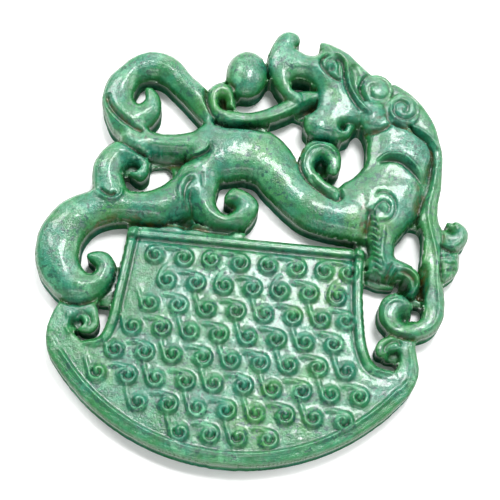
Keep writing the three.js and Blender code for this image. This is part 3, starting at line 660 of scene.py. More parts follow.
    def pit(self, x, y, radius, depth, up=0.0, dust=0.0):
        """A round hollow."""
        cx, cy = self.place([x, y + up])
        shape = np.exp(-(((self.X - cx) ** 2 + (self.Y - cy) ** 2) / (0.7 * radius) ** 2))
        shape = np.where(self.mask, shape, 0)
        self.z -= depth * shape
        self.dust = np.maximum(self.dust, dust * shape)

    def blurred(self, values, passes):
        """A small blur that stays on the jade."""
        weight = self.mask.astype(float)
        return softened(values * weight, passes) / softened(weight, passes).clip(1e-6)

    def closed(self, region):
        """The region with its pinholes and notches filled."""
        for grow in (True, True, True, False, False, False):
            for other in [np.roll(region, step, (0, 1)) for step in BESIDE]:
                region = region | other if grow else region & other
        return region

    def inflated(self, region, edge, rise, reach, bevel, fall):
        """Heights of a plate of any outline, and its region.

        It has a narrow bevel, a wider and lower one behind a ledge on its lower side, where
        the stone is cut away towards the viewer, and a crown that rises slowly inwards.
        """
        ledge, steepest = 0.42, 0.8
        inwards = self.outside_distance(reach, region)
        weight = region.astype(float)
        crown = softened(inwards * weight, 24) / softened(weight, 24).clip(1e-6)
        below = np.gradient(crown, self.cell, axis=0).clip(0, steepest) / steepest
        low = edge - fall * below
        behind = (inwards - ledge * below).clip(0)
        near = np.sqrt(1 - (1 - (behind / (bevel + 0.5 * fall * below)).clip(0, 1)) ** 2)
        crown = np.minimum(crown, 3 * behind)
        slow = 1 - (1 - (crown / reach).clip(0, 1)) ** 2
        share = 0.4 + 0.12 * fall * below
        return low + (edge + rise - low) * (share * near + (1 - share) * slow), region

    def outside_distance(self, most, region=None):
        """Distance in millimetres in from the outline of the jade or a region, up to a limit."""
        distance = np.where(self.mask if region is None else region, most, 0.0)
        steps = [(step, self.cell) for step in BESIDE]
        steps += [(step, self.cell * math.sqrt(2)) for step in CORNERS]
        for _ in range(int(most / self.cell) + 1):
            for step, cost in steps:
                distance = np.minimum(distance, np.roll(distance, step, (0, 1)) + cost)
        return distance


def blade_outline(relief):
    """The blade's outline in millimetres."""
    left = spline(relief.place(LEFT_SIDE))(np.linspace(0, 1, 60))
    right = spline(relief.place(RIGHT_SIDE))(np.linspace(0, 1, 60))
    edge = relief.place([on_arc(a) for a in np.linspace(ARC_FROM, ARC_TO, 160)])
    return np.vstack([left, edge, right[::-1]])


def lower_border(sizes):
    """Rungs of the cutting edge's border, which widens at both ends into the arms."""
    rungs = list(LEFT_ARM)
    width = sizes.border_width / MM
    for degrees in np.linspace(ARC_FROM, ARC_TO, 33):
        from_end = min(degrees - ARC_FROM, ARC_TO - degrees)
        spread = 1 + WING_SPREAD * max(0, 1 - from_end / WING_TURN)
        rungs.append([*on_arc(degrees), *on_arc(degrees, width * spread)])
    return rungs + list(RIGHT_ARM)


def carve_blade(relief):
    """The blade and its wings as one flat face, with the raised border and the end curls."""
    sizes = relief.sizes
    field = sizes.field_height / MM
    rise = sizes.border_rise / MM
    width = sizes.border_width / MM
    blade = relief.inside(blade_outline(relief))
    region = blade.copy()
    claws = [rounded(rungs, end=True) for rungs in (LEFT_CLAW, RIGHT_CLAW)]
    for rungs in (lower_border(sizes), *claws):
        region |= relief.covered(rungs)
    region = relief.closed(region)
    crown = 0.35
    relief.lay(relief.inflated(region, field - 0.3, crown, 0.9, 0.6, 0.5), depth=0.0)
    top = [RIGHT_SIDE[0], [-1, 3.3], LEFT_SIDE[0]]
    arc = [on_arc(a) for a in np.linspace(ARC_FROM - 2, ARC_TO + 1, 50)]
    for line, reach, tall, where in (
        (top, width, rise, blade),
        (LEFT_SIDE, width, rise, blade),
        (RIGHT_SIDE, width, rise, blade),
        (arc, 1.9, 0.16, region),
    ):
        d, s, window = relief.along(line, reach * 2)
        # Each border climbs inwards to a sharp inner edge, with a groove along it
        climb = np.clip(d / (0.75 * reach), 0, 1)
        ridge = (0.4 + 0.6 * climb * climb) * np.clip((reach - d) / 0.3, 0, 1)
        if line in (LEFT_SIDE, RIGHT_SIDE):
            # The side borders fade out before they reach the holes
            tall = tall * np.clip((0.95 - s) / 0.35, 0, 1)
        groove = np.exp(-(((d - reach - 0.3) / 0.28) ** 2))
        touched = where[window] & (d < reach * 1.6)
        relief.z[window] += np.where(touched, tall * ridge - 0.4 * tall * groove, 0)
    inner_line = [on_arc(a, 1.8) for a in np.linspace(ARC_FROM, ARC_TO, 40)]
    relief.stroke(inner_line, 0.45, 0.5, taper=0.03)
    for line in BLADE_LINES:
        relief.stroke(line, 0.34, 0.3, taper=0.03)
    for line in CLAW_GROOVES:
        relief.stroke(line, 0.42, -0.5, taper=0.1)
    for x, y in ((-38.4, -20.8), (34.6, -21.6)):
        relief.pit(x, y, 1.1, 1.8, dust=0.3)


def grain_places(sizes):
    """Each scroll's place on the field, its row and its number in the row."""
    places = []
    pitch, step = sizes.grain_pitch / MM / UNIT, sizes.grain_row / MM / UNIT
    # In shares: the first row, the field's half width, the last scroll on the right, the room
    # kept from the cutting edge, the holes at both ends and the room kept from them
    first, half, last, edge_room = -2.9, 24.6, 23.4, 4.4
    holes, hole_room = ((-34, -24), (31.5, -24)), 4.5
    # The field widens below this height, by this share for each share down
    flare_from, flare_by = -20, 0.12
    for row in range(8):
        y = first - row * step
        shift = 1.3 if row % 2 else 4.6
        flare = 1 + max(0.0, flare_from - y) * flare_by
        for n in range(-6, 6):
            x = shift + n * pitch
            if math.hypot(x - ARC_X, y - ARC_Y) > ARC_RADIUS - edge_room:
                continue
            if x < -half * flare or x > half * flare:
                continue
            if any(math.hypot(x - hx, y - hy) < hole_room for hx, hy in holes):
                continue
            places.append((min(x, last * flare), y, row, n))
    return places


def coil(x, y, radius, hand, start, turns):
    """Points of a coil that winds in: hand 1 goes left from the top, hand -1 right."""
    points = []
    for share in np.linspace(0, 1, 20):
        angle = math.pi / 2 + start + share * turns * 2 * math.pi
        reach = radius * (1 - 0.84 * share**1.7)
        points.append([x + hand * reach * math.cos(angle), y + reach * math.sin(angle)])
    return points


def carve_grain(relief):
    """Rows of small scrolls on the field: pairs share a band over the top, others have a tail."""
    sizes = relief.sizes
    radius = (sizes.grain_radius / MM - 0.22) / UNIT
    pitch = sizes.grain_pitch / MM / UNIT
    # Which of a row's scrolls turn left, the odd or the even ones
    parity = (0, 1, 0, 0, 1, 1, 0, 0)
    # The dome under each scroll, in millimetres, and how far a scroll is off its place, in shares
    dome, dome_rise, wander = 1.75, 0.5, 0.15
    places = grain_places(sizes)
    taken = {(row, n) for _, _, row, n in places}
    draw = np.random.default_rng(11)
    for x, y, row, n in places:
        left = n % 2 == parity[row]
        hand = 1 if left else -1
        r, window = relief.around(x, y, dome)
        relief.z[window] += dome_rise * (1 - (r / dome) ** 2).clip(0) ** 0.8
        x, y = x + draw.uniform(-wander, wander), y + draw.uniform(-wander, wander)
        if left and row:
            if row == 1:
                tail = [[x + 0.6, y + 4.2], [x - 0.9, y + 3.1], [x - 1.7, y + 1.6]]
            else:
                tail = [[x - 3.3, y + 4.6], [x - 3.0, y + 2.9], [x - 2.4, y + 1.2]]
            line = tail + coil(x, y, radius, hand, math.pi / 2, 1.0)
        else:
            line = coil(x, y, radius, hand, 0.0, 1.25)
            if not left and (row, n - 1) in taken:
                over = 0.72 if row else 1.0
                top = y + radius
                line = [
                    [x - over * pitch, top - 0.1 if row else top],
                    [x - 0.66 * over * pitch, top + 0.3],
                    [x - 0.33 * over * pitch, top + 0.25],
                ] + line
        relief.ridge(line, 0.3, 0.3)
        relief.bump(x, y, 0.42, 0.3)
        groove = coil(x, y, radius * 0.62, hand, 0.9, 0.8)
        relief.stroke(groove, 0.32, -0.5, taper=0.1)


def carve_trunk(relief):
    """Tail, leaf, body, neck, leg, belly scroll and lobe as one sweep, then their overlaps."""
    relief.blend(relief.band(BORDER_SHOULDER, HEIGHTS["border_shoulder"]), soft=0.3)
    region = np.zeros_like(relief.mask)
    for rungs, start, end, name in (
        (LEFT_LOBE, True, True, "lobe"),
        (LEFT_CURL, True, True, "curl"),
        (PAW, False, True, "paw"),
        (TAIL, False, True, "tail"),
        (LEAF, True, False, "leaf"),
        (BELLY_SCROLL, False, True, "scroll"),
        (BODY, True, False, "body"),
        (NECK, False, False, "neck"),
        (SHANK, False, False, "leg"),
    ):
        region |= relief.covered(rounded(rungs, start, end), UPWARD[name])
    relief.lay(relief.inflated(relief.closed(region), *PLATES["trunk"]), depth=0.5)
    relief.stroke(LEAF_SEAM, 0.6, -0.9, taper=0.1, dust=0.9)
    relief.step(LEAF_LOWER_EDGE, 0.9, 1.3, -1)
    relief.strokes(
        (
            (LEAF_LOWER_EDGE, 0.36, 0.5, 0.12),
            (CURL_UNDER_LEAF, 0.7, -0.8, 0.1, 0.3),
            (CURL_FOOT, 0.38, 0.65, 0.12),
            (CURL_FOOT_GROOVE, 0.45, -0.8, 0.25, 0.4),
        )
    )
    relief.step(SCROLL_LEFT_LINE, 1.0, 1.1, 1)
    relief.strokes(
        (
            (SCROLL_LEFT_LINE, 0.38, 0.55, 0.1),
            (LOBE_END_RING, 0.8, 0.35),
            (LOBE_END_GROOVE, 0.55, -0.5, 0.25, 0.4),
            ([[-13, 18.3], [-12.7, 16.4], [-12.4, 14.4]], 0.4, -0.35),
            (LOBE_LOWER_GROOVE, 0.7, -1.2, 0.05, 1.0),
        )
    )
    relief.pit(-15.5, 5.9, 1.4, 2.2, dust=0.8)
    relief.pit(-5, 10.7, 1.2, 0.9, dust=0.4)
    relief.stroke([[-10, 31.2], [-6, 31.6], [-2, 31.6], [1.5, 31]], 0.8, -1.3, dust=1.0)


def carve_chest(relief):
    """The curl at the chest, the shoulder's crescent and the spiral at the joint."""
    curl = relief.closed(relief.covered(rounded(CHEST_SCROLL, True, True), UPWARD["chest"]))
    relief.lay(relief.inflated(curl, *PLATES["chest"]), depth=0.5, dust=0.6)
    relief.pit(14.9, 23.3, 1.3, 2.0, dust=0.3)
    relief.strokes(
        (
            (CHEST_RIM, 0.35, 0.4, 0.1),
            (CHEST_TAIL, 0.4, -0.5, 0.2, 0.3),
            (SHOULDER_CRESCENT, 0.38, 0.75, 0.3),
            (CRESCENT_CHANNEL, 0.75, -1.25, 0.35, 0.1),
            (JOINT_SPIRAL, 0.3, -0.5, 0.1),
            (JOINT_CORE, 0.4, 0.5),
        )
    )


def carve_mane(relief):
    """The mane down the back with its coil, the leaf beside it, and the leg with its paw."""
    relief.lay(relief.band(SIDE_LEAF, HEIGHTS["leaf_tip"]), depth=0.3)
    draw = np.random.default_rng(5)
    for _ in range(34):
        x, y = draw.uniform(44.6, 48.6), draw.uniform(-1.6, 5.6)
        relief.pit(x, y, draw.uniform(0.3, 0.5), draw.uniform(0.15, 0.45))
    line = spline(relief.place(np.array(SIDE_CURL) + [0, 0.3]), closed=True)
    curl = relief.inside(line(np.linspace(0, 1, 200)))
    relief.lay(relief.inflated(curl, *PLATES["side_curl"]), depth=0.4)
    relief.stroke(SIDE_CURL_RIM, 0.5, 0.35, taper=0.1)
    relief.pit(47.2, 10.2, 0.9, 1.0)
    up = UPWARD["mane"]
    mane = relief.covered(MANE, up) | relief.oval(35.2, -11.4, 3.4, 3.8, (0.0, 0.0, up))[1]
    relief.lay(relief.inflated(relief.closed(mane), *PLATES["mane"]), depth=0.55, dust=0.7)
    relief.strokes(
        (
            (MANE_GROOVE, 0.9, -1.0, 0.25, 1.0),
            (MANE_RIDGE, 0.5, 0.4, 0.06),
            (COIL_RIM, 0.5, 0.35, 0.1),
        )
    )
    relief.pit(37.4, -12.1, 1.6, 2.6)
    relief.pit(36.2, -4.6, 1.3, 2.0)
    beside_paw = [[40.6, 1.4], [40.9, -2], [40.9, -5], [40.2, -7]]
    relief.stroke(beside_paw, 0.9, -1.6, taper=0.15, dust=1.0)
    for line in PAW_LINES:
        relief.stroke(line, 0.42, 0.45)
    for line in PAW_GROOVES:
        relief.stroke(line, 0.45, -0.6, dust=0.9)
    relief.strokes(
        (
            ([[27.4, 13], [27.1, 10], [26.9, 6.2]], 0.8, -1.0, 0.2, 1.0),
            ([[31, 9.6], [30.7, 5], [30.8, 1.5], [31.8, -1.4]], 0.5, 0.4),
        )
    )
    # The rope edge down the leg: slanted locks of hair with a groove under each
    for share in np.linspace(0, 1, 10):
        x = 28.5 + 1.6 * share**2
        y = 10.4 - 13 * share
        hair = np.array([[x - 0.9, y + 0.8], [x + 0.1, y + 0.4], [x + 1, y - 0.6]])
        relief.stroke(hair, 0.3, 0.7, taper=0.15)
        relief.stroke(hair - [0, 0.7], 0.26, -0.4, taper=0.15)


def carve_head(relief):
    """The head on one plate, with the open mouth, the coiled ears, the tongue and the pearl."""
    mouth_floor, mouth_rim = 2.3, 3.4
    line = spline(relief.place(np.array(HEAD_OUTLINE) + [0, 0.7]), closed=True)
    region = relief.inside(line(np.linspace(0, 1, 400)))
    line = spline(relief.place(np.array(MOUTH) + [0, 0.5]), closed=True)
    mouth = relief.inside(line(np.linspace(0, 1, 120)))
    relief.lay(relief.oval(-4.7, 45.6, 5.1, 6.3, HEIGHTS["pearl"]), depth=0.5)
    relief.lay(relief.inflated(region & ~mouth, *PLATES["head"]), depth=0.5)
    relief.z = np.where(mouth, mouth_floor, relief.z)
    relief.lay(relief.oval(33.6, 39.8, 4.3, 4.5, HEIGHTS["back_ear"]), depth=0.35, dust=0.5)
    relief.lay(relief.oval(27.2, 44.8, 3.9, 4.1, HEIGHTS["front_ear"]), depth=0.35, dust=0.2)
    relief.blend(relief.oval(26.6, 37.4, 3.3, 4.3, HEIGHTS["cheek"]), soft=0.6)
    relief.strokes(
        (
            (FOREHEAD_RIDGE, 2.6, 0.35, 0.3),
            (EYE_SOCKET, 0.5, -1.0, 0.15, 0.3),
            (BROW_VALLEY, 1.4, -0.9, 0.15),
            (BROW_LINE, 0.4, 0.75, 0.1),
            (BROW_GROOVE, 0.4, -0.8, 0.1),
            (EYE_SPIRAL, 0.34, -0.55, 0.1),
            ([[15.2, 50.2], [15.7, 49.4]], 0.6, 0.45),
        ),
        HEAD_UP,
    )
    relief.strokes(
        (
            (FRONT_EAR_COIL, 0.5, -0.35, 0.15),
            (BACK_EAR_COIL, 0.5, -0.5, 0.1),
            (BACK_EAR_LINE, 0.45, 0.5, 0.1),
            (EAR_TO_MANE, 0.5, -0.7, 0.1, 0.9),
            ([[24.4, 33], [27.2, 33.1], [29.8, 34.2], [31.2, 35.9]], 0.55, -0.8, 0.25, 0.9),
        )
    )
    relief.pit(19.5, 34.2, 1.0, 1.8, HEAD_UP)
    relief.strokes(
        (
            ([[19.3, 34], [20.8, 35.4], [23, 35.2], [24.6, 33.6]], 0.7, -0.9),
            (MOUTH_RIM, 0.45, 0.4, 0.2),
            (JAW_GLOSS, 1.2, 0.25),
        ),
        HEAD_UP,
    )
    relief.lay(relief.band(TONGUE[3:], HEIGHTS["tongue"]), depth=0.5)
    relief.blend(relief.band(TONGUE[:5], HEIGHTS["tongue"]), soft=0.3)
    relief.strokes(
        (
            (TONGUE_GLOSS, 0.55, 0.4, 0.1),
            (UNDER_TONGUE, 0.6, -1.0, 0.2, 0.6),
        )
    )
    relief.pit(-9.5, 38, 1.1, 1.2, dust=0.9)
    relief.dust = np.where(mouth & (relief.z < mouth_rim), 0.8, relief.dust)
    for line in STAINS:
        relief.stroke(line, 1.0, -0.08, dust=0.75)


# Lines of the dragon, in shares. Those of the head are set down the axis by this much.
HEAD_UP = -0.4
LEAF_SEAM = [[-38, 36.6], [-36.9, 33.7], [-34.3, 30.8], [-31, 28.6], [-28, 27.3]]
LEAF_LOWER_EDGE = [
    [-33.5, 25.2], [-30, 23.2], [-25.1, 21.9], [-20.2, 22], [-16.2, 22.5], [-13.5, 23.5],
    [-12.3, 24.6], [-12.1, 26.6],
]
SCROLL_LEFT_LINE = [
    [-15.6, 13.8], [-15.8, 11.8], [-14.8, 8.8], [-12.6, 6.3], [-9.9, 5.5],
]
BORDER_SHOULDER = [
    [-28.6, 5.4, -28.6, 2.6], [-22, 5.5, -22, 2.6], [-14, 6.2, -14, 2.6], [-6, 5.6, -6, 2.6],
    [-1.6, 5, -1.6, 2.6],
]
LOBE_END_RING = [[-14.2, 17.6], [-16.2, 16.8], [-17.6, 14.6], [-17.6, 12], [-16.6, 9.4]]
LOBE_END_GROOVE = [[-14.4, 16.4], [-15.8, 15.4], [-16.5, 13.4], [-16.4, 11], [-15.4, 8.6]]
LOBE_LOWER_GROOVE = [[-30, 4.2], [-25, 4.8], [-20, 5.2], [-15.6, 5.4], [-10, 4.6], [-4, 4.4]]
CURL_UNDER_LEAF = [[-37.6, 28.4], [-35, 26], [-32, 24.2], [-29, 22.8], [-26.4, 21.8]]
CURL_FOOT = [[-37.8, 11.6], [-36.2, 9.8], [-34, 9], [-32, 9.6], [-31.2, 11.2], [-31.6, 12.4]]
CURL_FOOT_GROOVE = [[-36.6, 12], [-35.2, 10.8], [-33.6, 10.3], [-32.6, 11.2]]
SHOULDER_CRESCENT = [[28.2, 25.2], [29.6, 26.7], [32, 27.5], [34.6, 27.2], [37, 25.4], [39.2, 23]]
CRESCENT_CHANNEL = [[28.6, 24.8], [31, 26], [33.6, 26], [36.4, 24.3], [38.6, 21.9], [39.6, 20]]
JOINT_SPIRAL = [
    [28, 15.9], [29.4, 17.3], [31.4, 17.1], [33, 15.5], [33.3, 13.1], [32.4, 11], [30.4, 10],
    [28.6, 10.7], [28.2, 12.4], [29, 14.2], [30.6, 15.2], [31.7, 14.2], [31.6, 12.6],
    [30.6, 11.7],
]
JOINT_CORE = [[29.2, 13.6], [30, 13.4], [30.6, 12.6]]
MANE_GROOVE = [[41.9, 28.4], [41.2, 25.4], [40.5, 22.4], [39.6, 18.6], [38.9, 15], [38.5, 11.4]]
MANE_RIDGE = [
    [42.8, 28.4], [42.6, 24], [42.1, 20], [41.3, 16], [41.4, 12.6], [42.2, 8.8], [43.2, 5.6],
    [43.9, 1.6], [44.1, -3], [44.6, -7], [44.7, -10.6], [43.8, -13.4], [41.8, -15.4],
]
COIL_RIM = [
    [37, -8.6], [34.8, -8.3], [32.9, -9.6], [32.2, -11.8], [32.7, -14], [34.4, -15.7],
    [37, -16.2], [40, -15.9],
]
PAW_LINES = (
    [[35, -0.6], [37.4, -1.2], [39.2, -2.8], [39.4, -4.8], [38.5, -6.2]],
    [[34.6, -2.2], [36.2, -2.3], [37.6, -3.4], [38, -4.8], [37.6, -5.8]],
    [[34.2, -0.8], [33.2, -2.4], [32.9, -3.8]],
)
PAW_GROOVES = (
    [[35, -1.4], [36.8, -1.8], [38.4, -3], [38.7, -4.6]],
    [[33.4, 0.4], [32.6, -1.8], [32.2, -4]],
    [[34.6, -1.2], [33.9, -2.6], [33.7, -4.2]],
)
TONGUE_GLOSS = [[-9, 33.3], [-6, 33.3], [-2, 33.7], [2, 34.8], [6, 36.9], [9, 39.3], [11.6, 41.4]]
UNDER_TONGUE = [[8.4, 36.8], [10, 37.7], [11.4, 38.9], [12.4, 40.2]]
FOREHEAD_RIDGE = [[4.5, 50], [8.5, 49.4], [12.5, 48.8], [16, 45.8], [19, 42.2], [20.5, 38.5]]
EYE_SOCKET = [
    [15, 53], [13.2, 51.5], [13.2, 49.6], [14.6, 47.8], [16.6, 46.4], [18.6, 45.8],
]
BROW_VALLEY = [[20.8, 51], [21.6, 48], [22, 45.4], [23.2, 43], [24.6, 40.8]]
BROW_LINE = [
    [16, 53], [17.4, 52.8], [18.8, 51.4], [19.6, 49], [20, 46.4], [20.9, 43.9], [22.6, 41.3],
    [24.6, 38.8], [26.2, 37.6],
]
BROW_GROOVE = [
    [16.4, 51.9], [17.8, 51.2], [18.7, 49], [19, 46.4], [20, 43.4], [21.8, 40.6], [23.6, 38.4],
]
EYE_SPIRAL = [
    [18, 46.6], [17.6, 48.6], [17.4, 50.4], [16.2, 51.6], [14.8, 51.2], [14.1, 49.8],
    [14.7, 48.5], [16, 48.5], [16.4, 49.7],
]
CHEST_RIM = [
    [12.6, 19.6], [11.1, 22], [11, 25], [12.4, 27.6], [15, 28.5], [17.4, 27.6], [18.7, 25.6],
]
CHEST_TAIL = [[12.6, 20.3], [14, 18.4], [16.2, 16.8], [18.8, 15.8]]
STAINS = (
    [[-38.4, 0], [-37, 2.4], [-34.6, 4.2], [-31, 5.3], [-26, 5.6], [-21, 6.3]],
    [[-23, 21], [-18.6, 21.2], [-14.6, 22.4]],
    [[25, 19], [25.7, 14], [25.9, 9], [25.6, 6]],
    [[-26, 24.4], [-28.6, 26], [-31, 27.6]],
    [[9, 21], [9.6, 24.6], [11.4, 27.6]],
    [[24, 36.6], [22.6, 38.4]],
    [[39, 22], [38.8, 17], [37.6, 12.6]],
)
FRONT_EAR_COIL = [
    [24.2, 46.2], [26.2, 47.9], [28.8, 47.4], [30.3, 45], [29.4, 42.6], [27, 42], [25.4, 43.6],
    [25.8, 45.4], [27.4, 45.8],
]
BACK_EAR_COIL = [
    [36.9, 42], [37.2, 39.6], [35.8, 37.9], [33.6, 37.4], [31.8, 38.9], [31.7, 41], [33.2, 42.1],
    [34.8, 41.2], [34.8, 39.7], [33.7, 39.4],
]
BACK_EAR_LINE = [
    [31.4, 41.2], [30.9, 39], [32, 37.3], [34.4, 36.7], [37, 36], [39.6, 34.6], [41.8, 32.6],
    [43, 30.4],
]
EAR_TO_MANE = [[31, 36.2], [33.6, 35.2], [36.8, 33.9], [39.4, 32.2], [41.2, 30.2], [41.8, 27.6]]
MOUTH_RIM = [[5.9, 42.9], [6.1, 44.9], [7.6, 46.3], [9.8, 46.4]]
JAW_GLOSS = [[12.6, 33.6], [15, 32.4], [17.6, 31.9]]


def carve_dragon(relief):
    """The dragon and the curls that tie it to the blade."""
    for rungs in GROUND:
        relief.blend(relief.band(rungs, HEIGHTS["floor"]))
    carve_trunk(relief)
    carve_chest(relief)
    carve_mane(relief)
    carve_head(relief)


def build_relief(sizes):
    """The finished height map."""
    relief = Relief(sizes)
    carve_blade(relief)
    carve_grain(relief)
    carve_dragon(relief)
    relief.z = relief.blurred(relief.z, 1)
    calm = np.where(relief.inside(blade_outline(relief)), 0.25, 1.0)
    # The hand-worked unevenness in millimetres: how high, how many waves, their lengths, the seed
    for height, waves, shortest, longest, seed in (
        (0.11 * calm, 14, 5.0, 11.0, 3),
        (0.02, 16, 1.6, 3.2, 4),
        (0.014, 24, 0.7, 1.3, 6),
    ):
        relief.z += height * unevenness(relief.X, relief.Y, waves, shortest, longest, seed)
    arris, width = sizes.arris / MM, 0.6
    edge = relief.outside_distance(1.5 * width)
    relief.z -= arris * (1 - np.clip(edge / width, 0, 1)) ** 2
    return relief


def filled_heights(relief):
    """The heights, carried three cells out past the outline."""
    known = relief.mask.astype(float)
    heights = relief.z * known
    for _ in range(3):
        total, weight = np.zeros_like(heights), np.zeros_like(heights)
        for step in BESIDE:
            total += np.roll(heights * known, step, (0, 1))
            weight += np.roll(known, step, (0, 1))
        grow = (known == 0) & (weight > 0)
        heights[grow] = total[grow] / weight[grow]
        known[grow] = 1
    return heights


def shell(relief):
    """Vertices in metres and four-sided faces of the closed piece, and which vertices may move.

    The height map is the top, its cells' outer corners pulled to the smooth outline. Below the
    outline stand upright walls of three rows, and the back is flat.
    """
    soft = softened(relief.closed(relief.mask).astype(float), 6)
    quad = (soft[:-1, :-1] + soft[1:, :-1] + soft[:-1, 1:] + soft[1:, 1:]) / 4 > 0.5
    used = np.zeros_like(relief.mask)
    for corner in (used[:-1, :-1], used[1:, :-1], used[:-1, 1:], used[1:, 1:]):
        corner |= quad
    inner = np.ones_like(used)
    inner[1:-1, 1:-1] = quad[:-1, :-1] & quad[1:, :-1] & quad[:-1, 1:] & quad[1:, 1:]
    rim = used & ~inner
    gy, gx = np.gradient(soft, relief.cell)
    pull = np.clip((0.5 - soft) / (gx**2 + gy**2).clip(1e-3), -2, 2)
    shift = np.hypot(pull * gx, pull * gy)
    most = 0.8 * relief.cell
    scale = np.where(shift > most, most / shift.clip(1e-9), 1)
    X = np.where(rim, relief.X + pull * gx * scale, relief.X)
    Y = np.where(rim, relief.Y + pull * gy * scale, relief.Y)
    top = np.stack([X[used], Y[used], filled_heights(relief)[used]], 1)
    count = len(top)
    number = -np.ones(used.shape, int)
    number[used] = np.arange(count)
    j, i = np.nonzero(quad)
    a, b = number[j, i], number[j, i + 1]
    c, d = number[j + 1, i + 1], number[j + 1, i]
    vertices = [top, top * [1, 1, 0]]
    faces = [np.stack([a, b, c, d], 1), np.stack([a, d, c, b], 1) + count]
    edges = np.concatenate([np.stack(e, 1) for e in ((a, b), (b, c), (c, d), (d, a))])
    key = np.sort(edges, axis=1)
    key = key[:, 0] * count + key[:, 1]
    _, first, times = np.unique(key, return_index=True, return_counts=True)
    border = edges[first[times == 1]]
    ring = np.unique(border)
    lookup = -np.ones(count, int)
    lookup[ring] = np.arange(len(ring))
    above = border
    for level, share in enumerate(WALL_ROWS):
        vertices.append(top[ring] * [1, 1, share])
        below = lookup[border] + 2 * count + level * len(ring)
        faces.append(np.stack([above[:, 1], above[:, 0], below[:, 0], below[:, 1]], 1))
        above = below
    below = border + count
    faces.append(np.stack([above[:, 1], above[:, 0], below[:, 0], below[:, 1]], 1))
    vertices = np.concatenate(vertices) * MM
    free = np.arange(len(vertices)) < 2 * count
    free[ring] = free[ring + count] = False
    return vertices, np.concatenate(faces), np.nonzero(free)[0]


def quad_mesh(name, vertices, faces):
    """A mesh of four-sided faces."""
    mesh = bpy.data.meshes.new(name)
    mesh.vertices.add(len(vertices))
    mesh.vertices.foreach_set("co", vertices.astype(np.float32).ravel())
    mesh.loops.add(faces.size)
    mesh.loops.foreach_set("vertex_index", faces.astype(np.int32).ravel())
    mesh.polygons.add(len(faces))
    mesh.polygons.foreach_set("loop_start", np.arange(0, faces.size, 4, dtype=np.int32))
    mesh.update(calc_edges=True)
    mesh.validate()
    return mesh


def thinned(obj, free):
    """Brings the object's mesh under the most triangles, by its free vertices alone."""
    triangles = sum(len(p.vertices) - 2 for p in obj.data.polygons)
    if triangles > MOST_TRIANGLES:
        modifier = obj.modifiers.new("thin", "DECIMATE")
        group = obj.vertex_groups.new(name="face")
        group.add(free.tolist(), 1.0, "REPLACE")
        modifier.vertex_group = group.name
        modifier.ratio = MOST_TRIANGLES / triangles
        graph = bpy.context.evaluated_depsgraph_get()
        made = bpy.data.meshes.new_from_object(obj.evaluated_get(graph))
        obj.modifiers.clear()
        obj.data = made


def mark(mesh, relief, grids):
    """Writes grids of values to the vertices of the face, and how far each is down a wall."""
    co = np.zeros(len(mesh.vertices) * 3, np.float32)
    mesh.vertices.foreach_get("co", co)
    co = co.reshape(-1, 3) / MM
    fx = ((co[:, 0] - relief.x0) / relief.cell).clip(0, relief.nx - 1.001)
    fy = ((co[:, 1] - relief.y0) / relief.cell).clip(0, relief.ny - 1.001)
    i, j = fx.astype(int), fy.astype(int)
    u, v = fx - i, fy - j
    wall = np.clip((relief.z[j, i] - co[:, 2]) / 0.6 - 0.3, 0, 1)
    marks = {}
    for name, values in grids.items():
        picked = (
            values[j, i] * (1 - u) * (1 - v)
            + values[j, i + 1] * u * (1 - v)
            + values[j + 1, i] * (1 - u) * v
            + values[j + 1, i + 1] * u * v
        )
        marks[name] = picked * (1 - wall)
    # The wall share also darkens the walls' colour as painted shade
    marks["wall"] = wall
    for name, values in marks.items():
        attribute = mesh.attributes.new(name, "FLOAT", "POINT")
        attribute.data.foreach_set("value", values.astype(np.float32))


# Paints shade into the recesses: the material darkens each place by this value
def hollow(relief):
    """How deep each place lies under its surroundings, 0 to 1."""
    near = relief.blurred(relief.z, 6) - relief.z
    wide = relief.blurred(relief.z, 30) - relief.z
    return np.clip(near * 3.6 + wide * 0.55, 0, 1)


def node(tree, kind, settings=None, **links):
    """Adds a node with its settings, and links its inputs."""
    made = tree.nodes.new(kind)
    for key, value in (settings or {}).items():
        if isinstance(key, int) or key in made.inputs:
            made.inputs[key].default_value = value
        else:
            setattr(made, key, value)
    for key, source in links.items():
        socket = made.inputs[int(key[1:])] if key[0] == "i" else made.inputs[key]
        tree.links.new(source, socket)
    return made


# The stone's patterns: size in millimetres, detail, roughness, twist, and the values that a soft
# step spreads over 0 to 1. The clouds are about 4 to 9 mm across, the mottle 1.3 mm and the dark
# flecks under 1 mm.
PATTERNS = {
    "cloud": (7.0, 3.0, 0.55, 0.6, 0.38, 0.62),
    "warm": (9.0, 3.0, 0.55, 0.3, 0.53, 0.74),
    "milk": (3.6, 5.0, 0.7, 0.6, 0.48, 0.74),
    "mottle": (1.3, 5.0, 0.75, 0.3, 0.4, 0.64),
    "fleck": (0.8, 2.0, 0.55, 0.4, 0.54, 0.61),
    "thick": (5.0, 2.0, 0.5, 0.0, 0.38, 0.56),
    "patch": (1.6, 3.0, 0.6, 0.0, 0.4, 0.66),
}
# Bumps: size in millimetres, detail, roughness, strength and height in millimetres. The first is
# the grit of the polish: it is far finer on the real stone, and is drawn 0.32 mm coarse so that
# it shows as it breaks up the highlights. The second is the waviness under it.
BUMPS = ((0.32, 2.0, 0.7, 0.8, 0.13), (2.2, 2.0, 0.5, 0.5, 0.12))


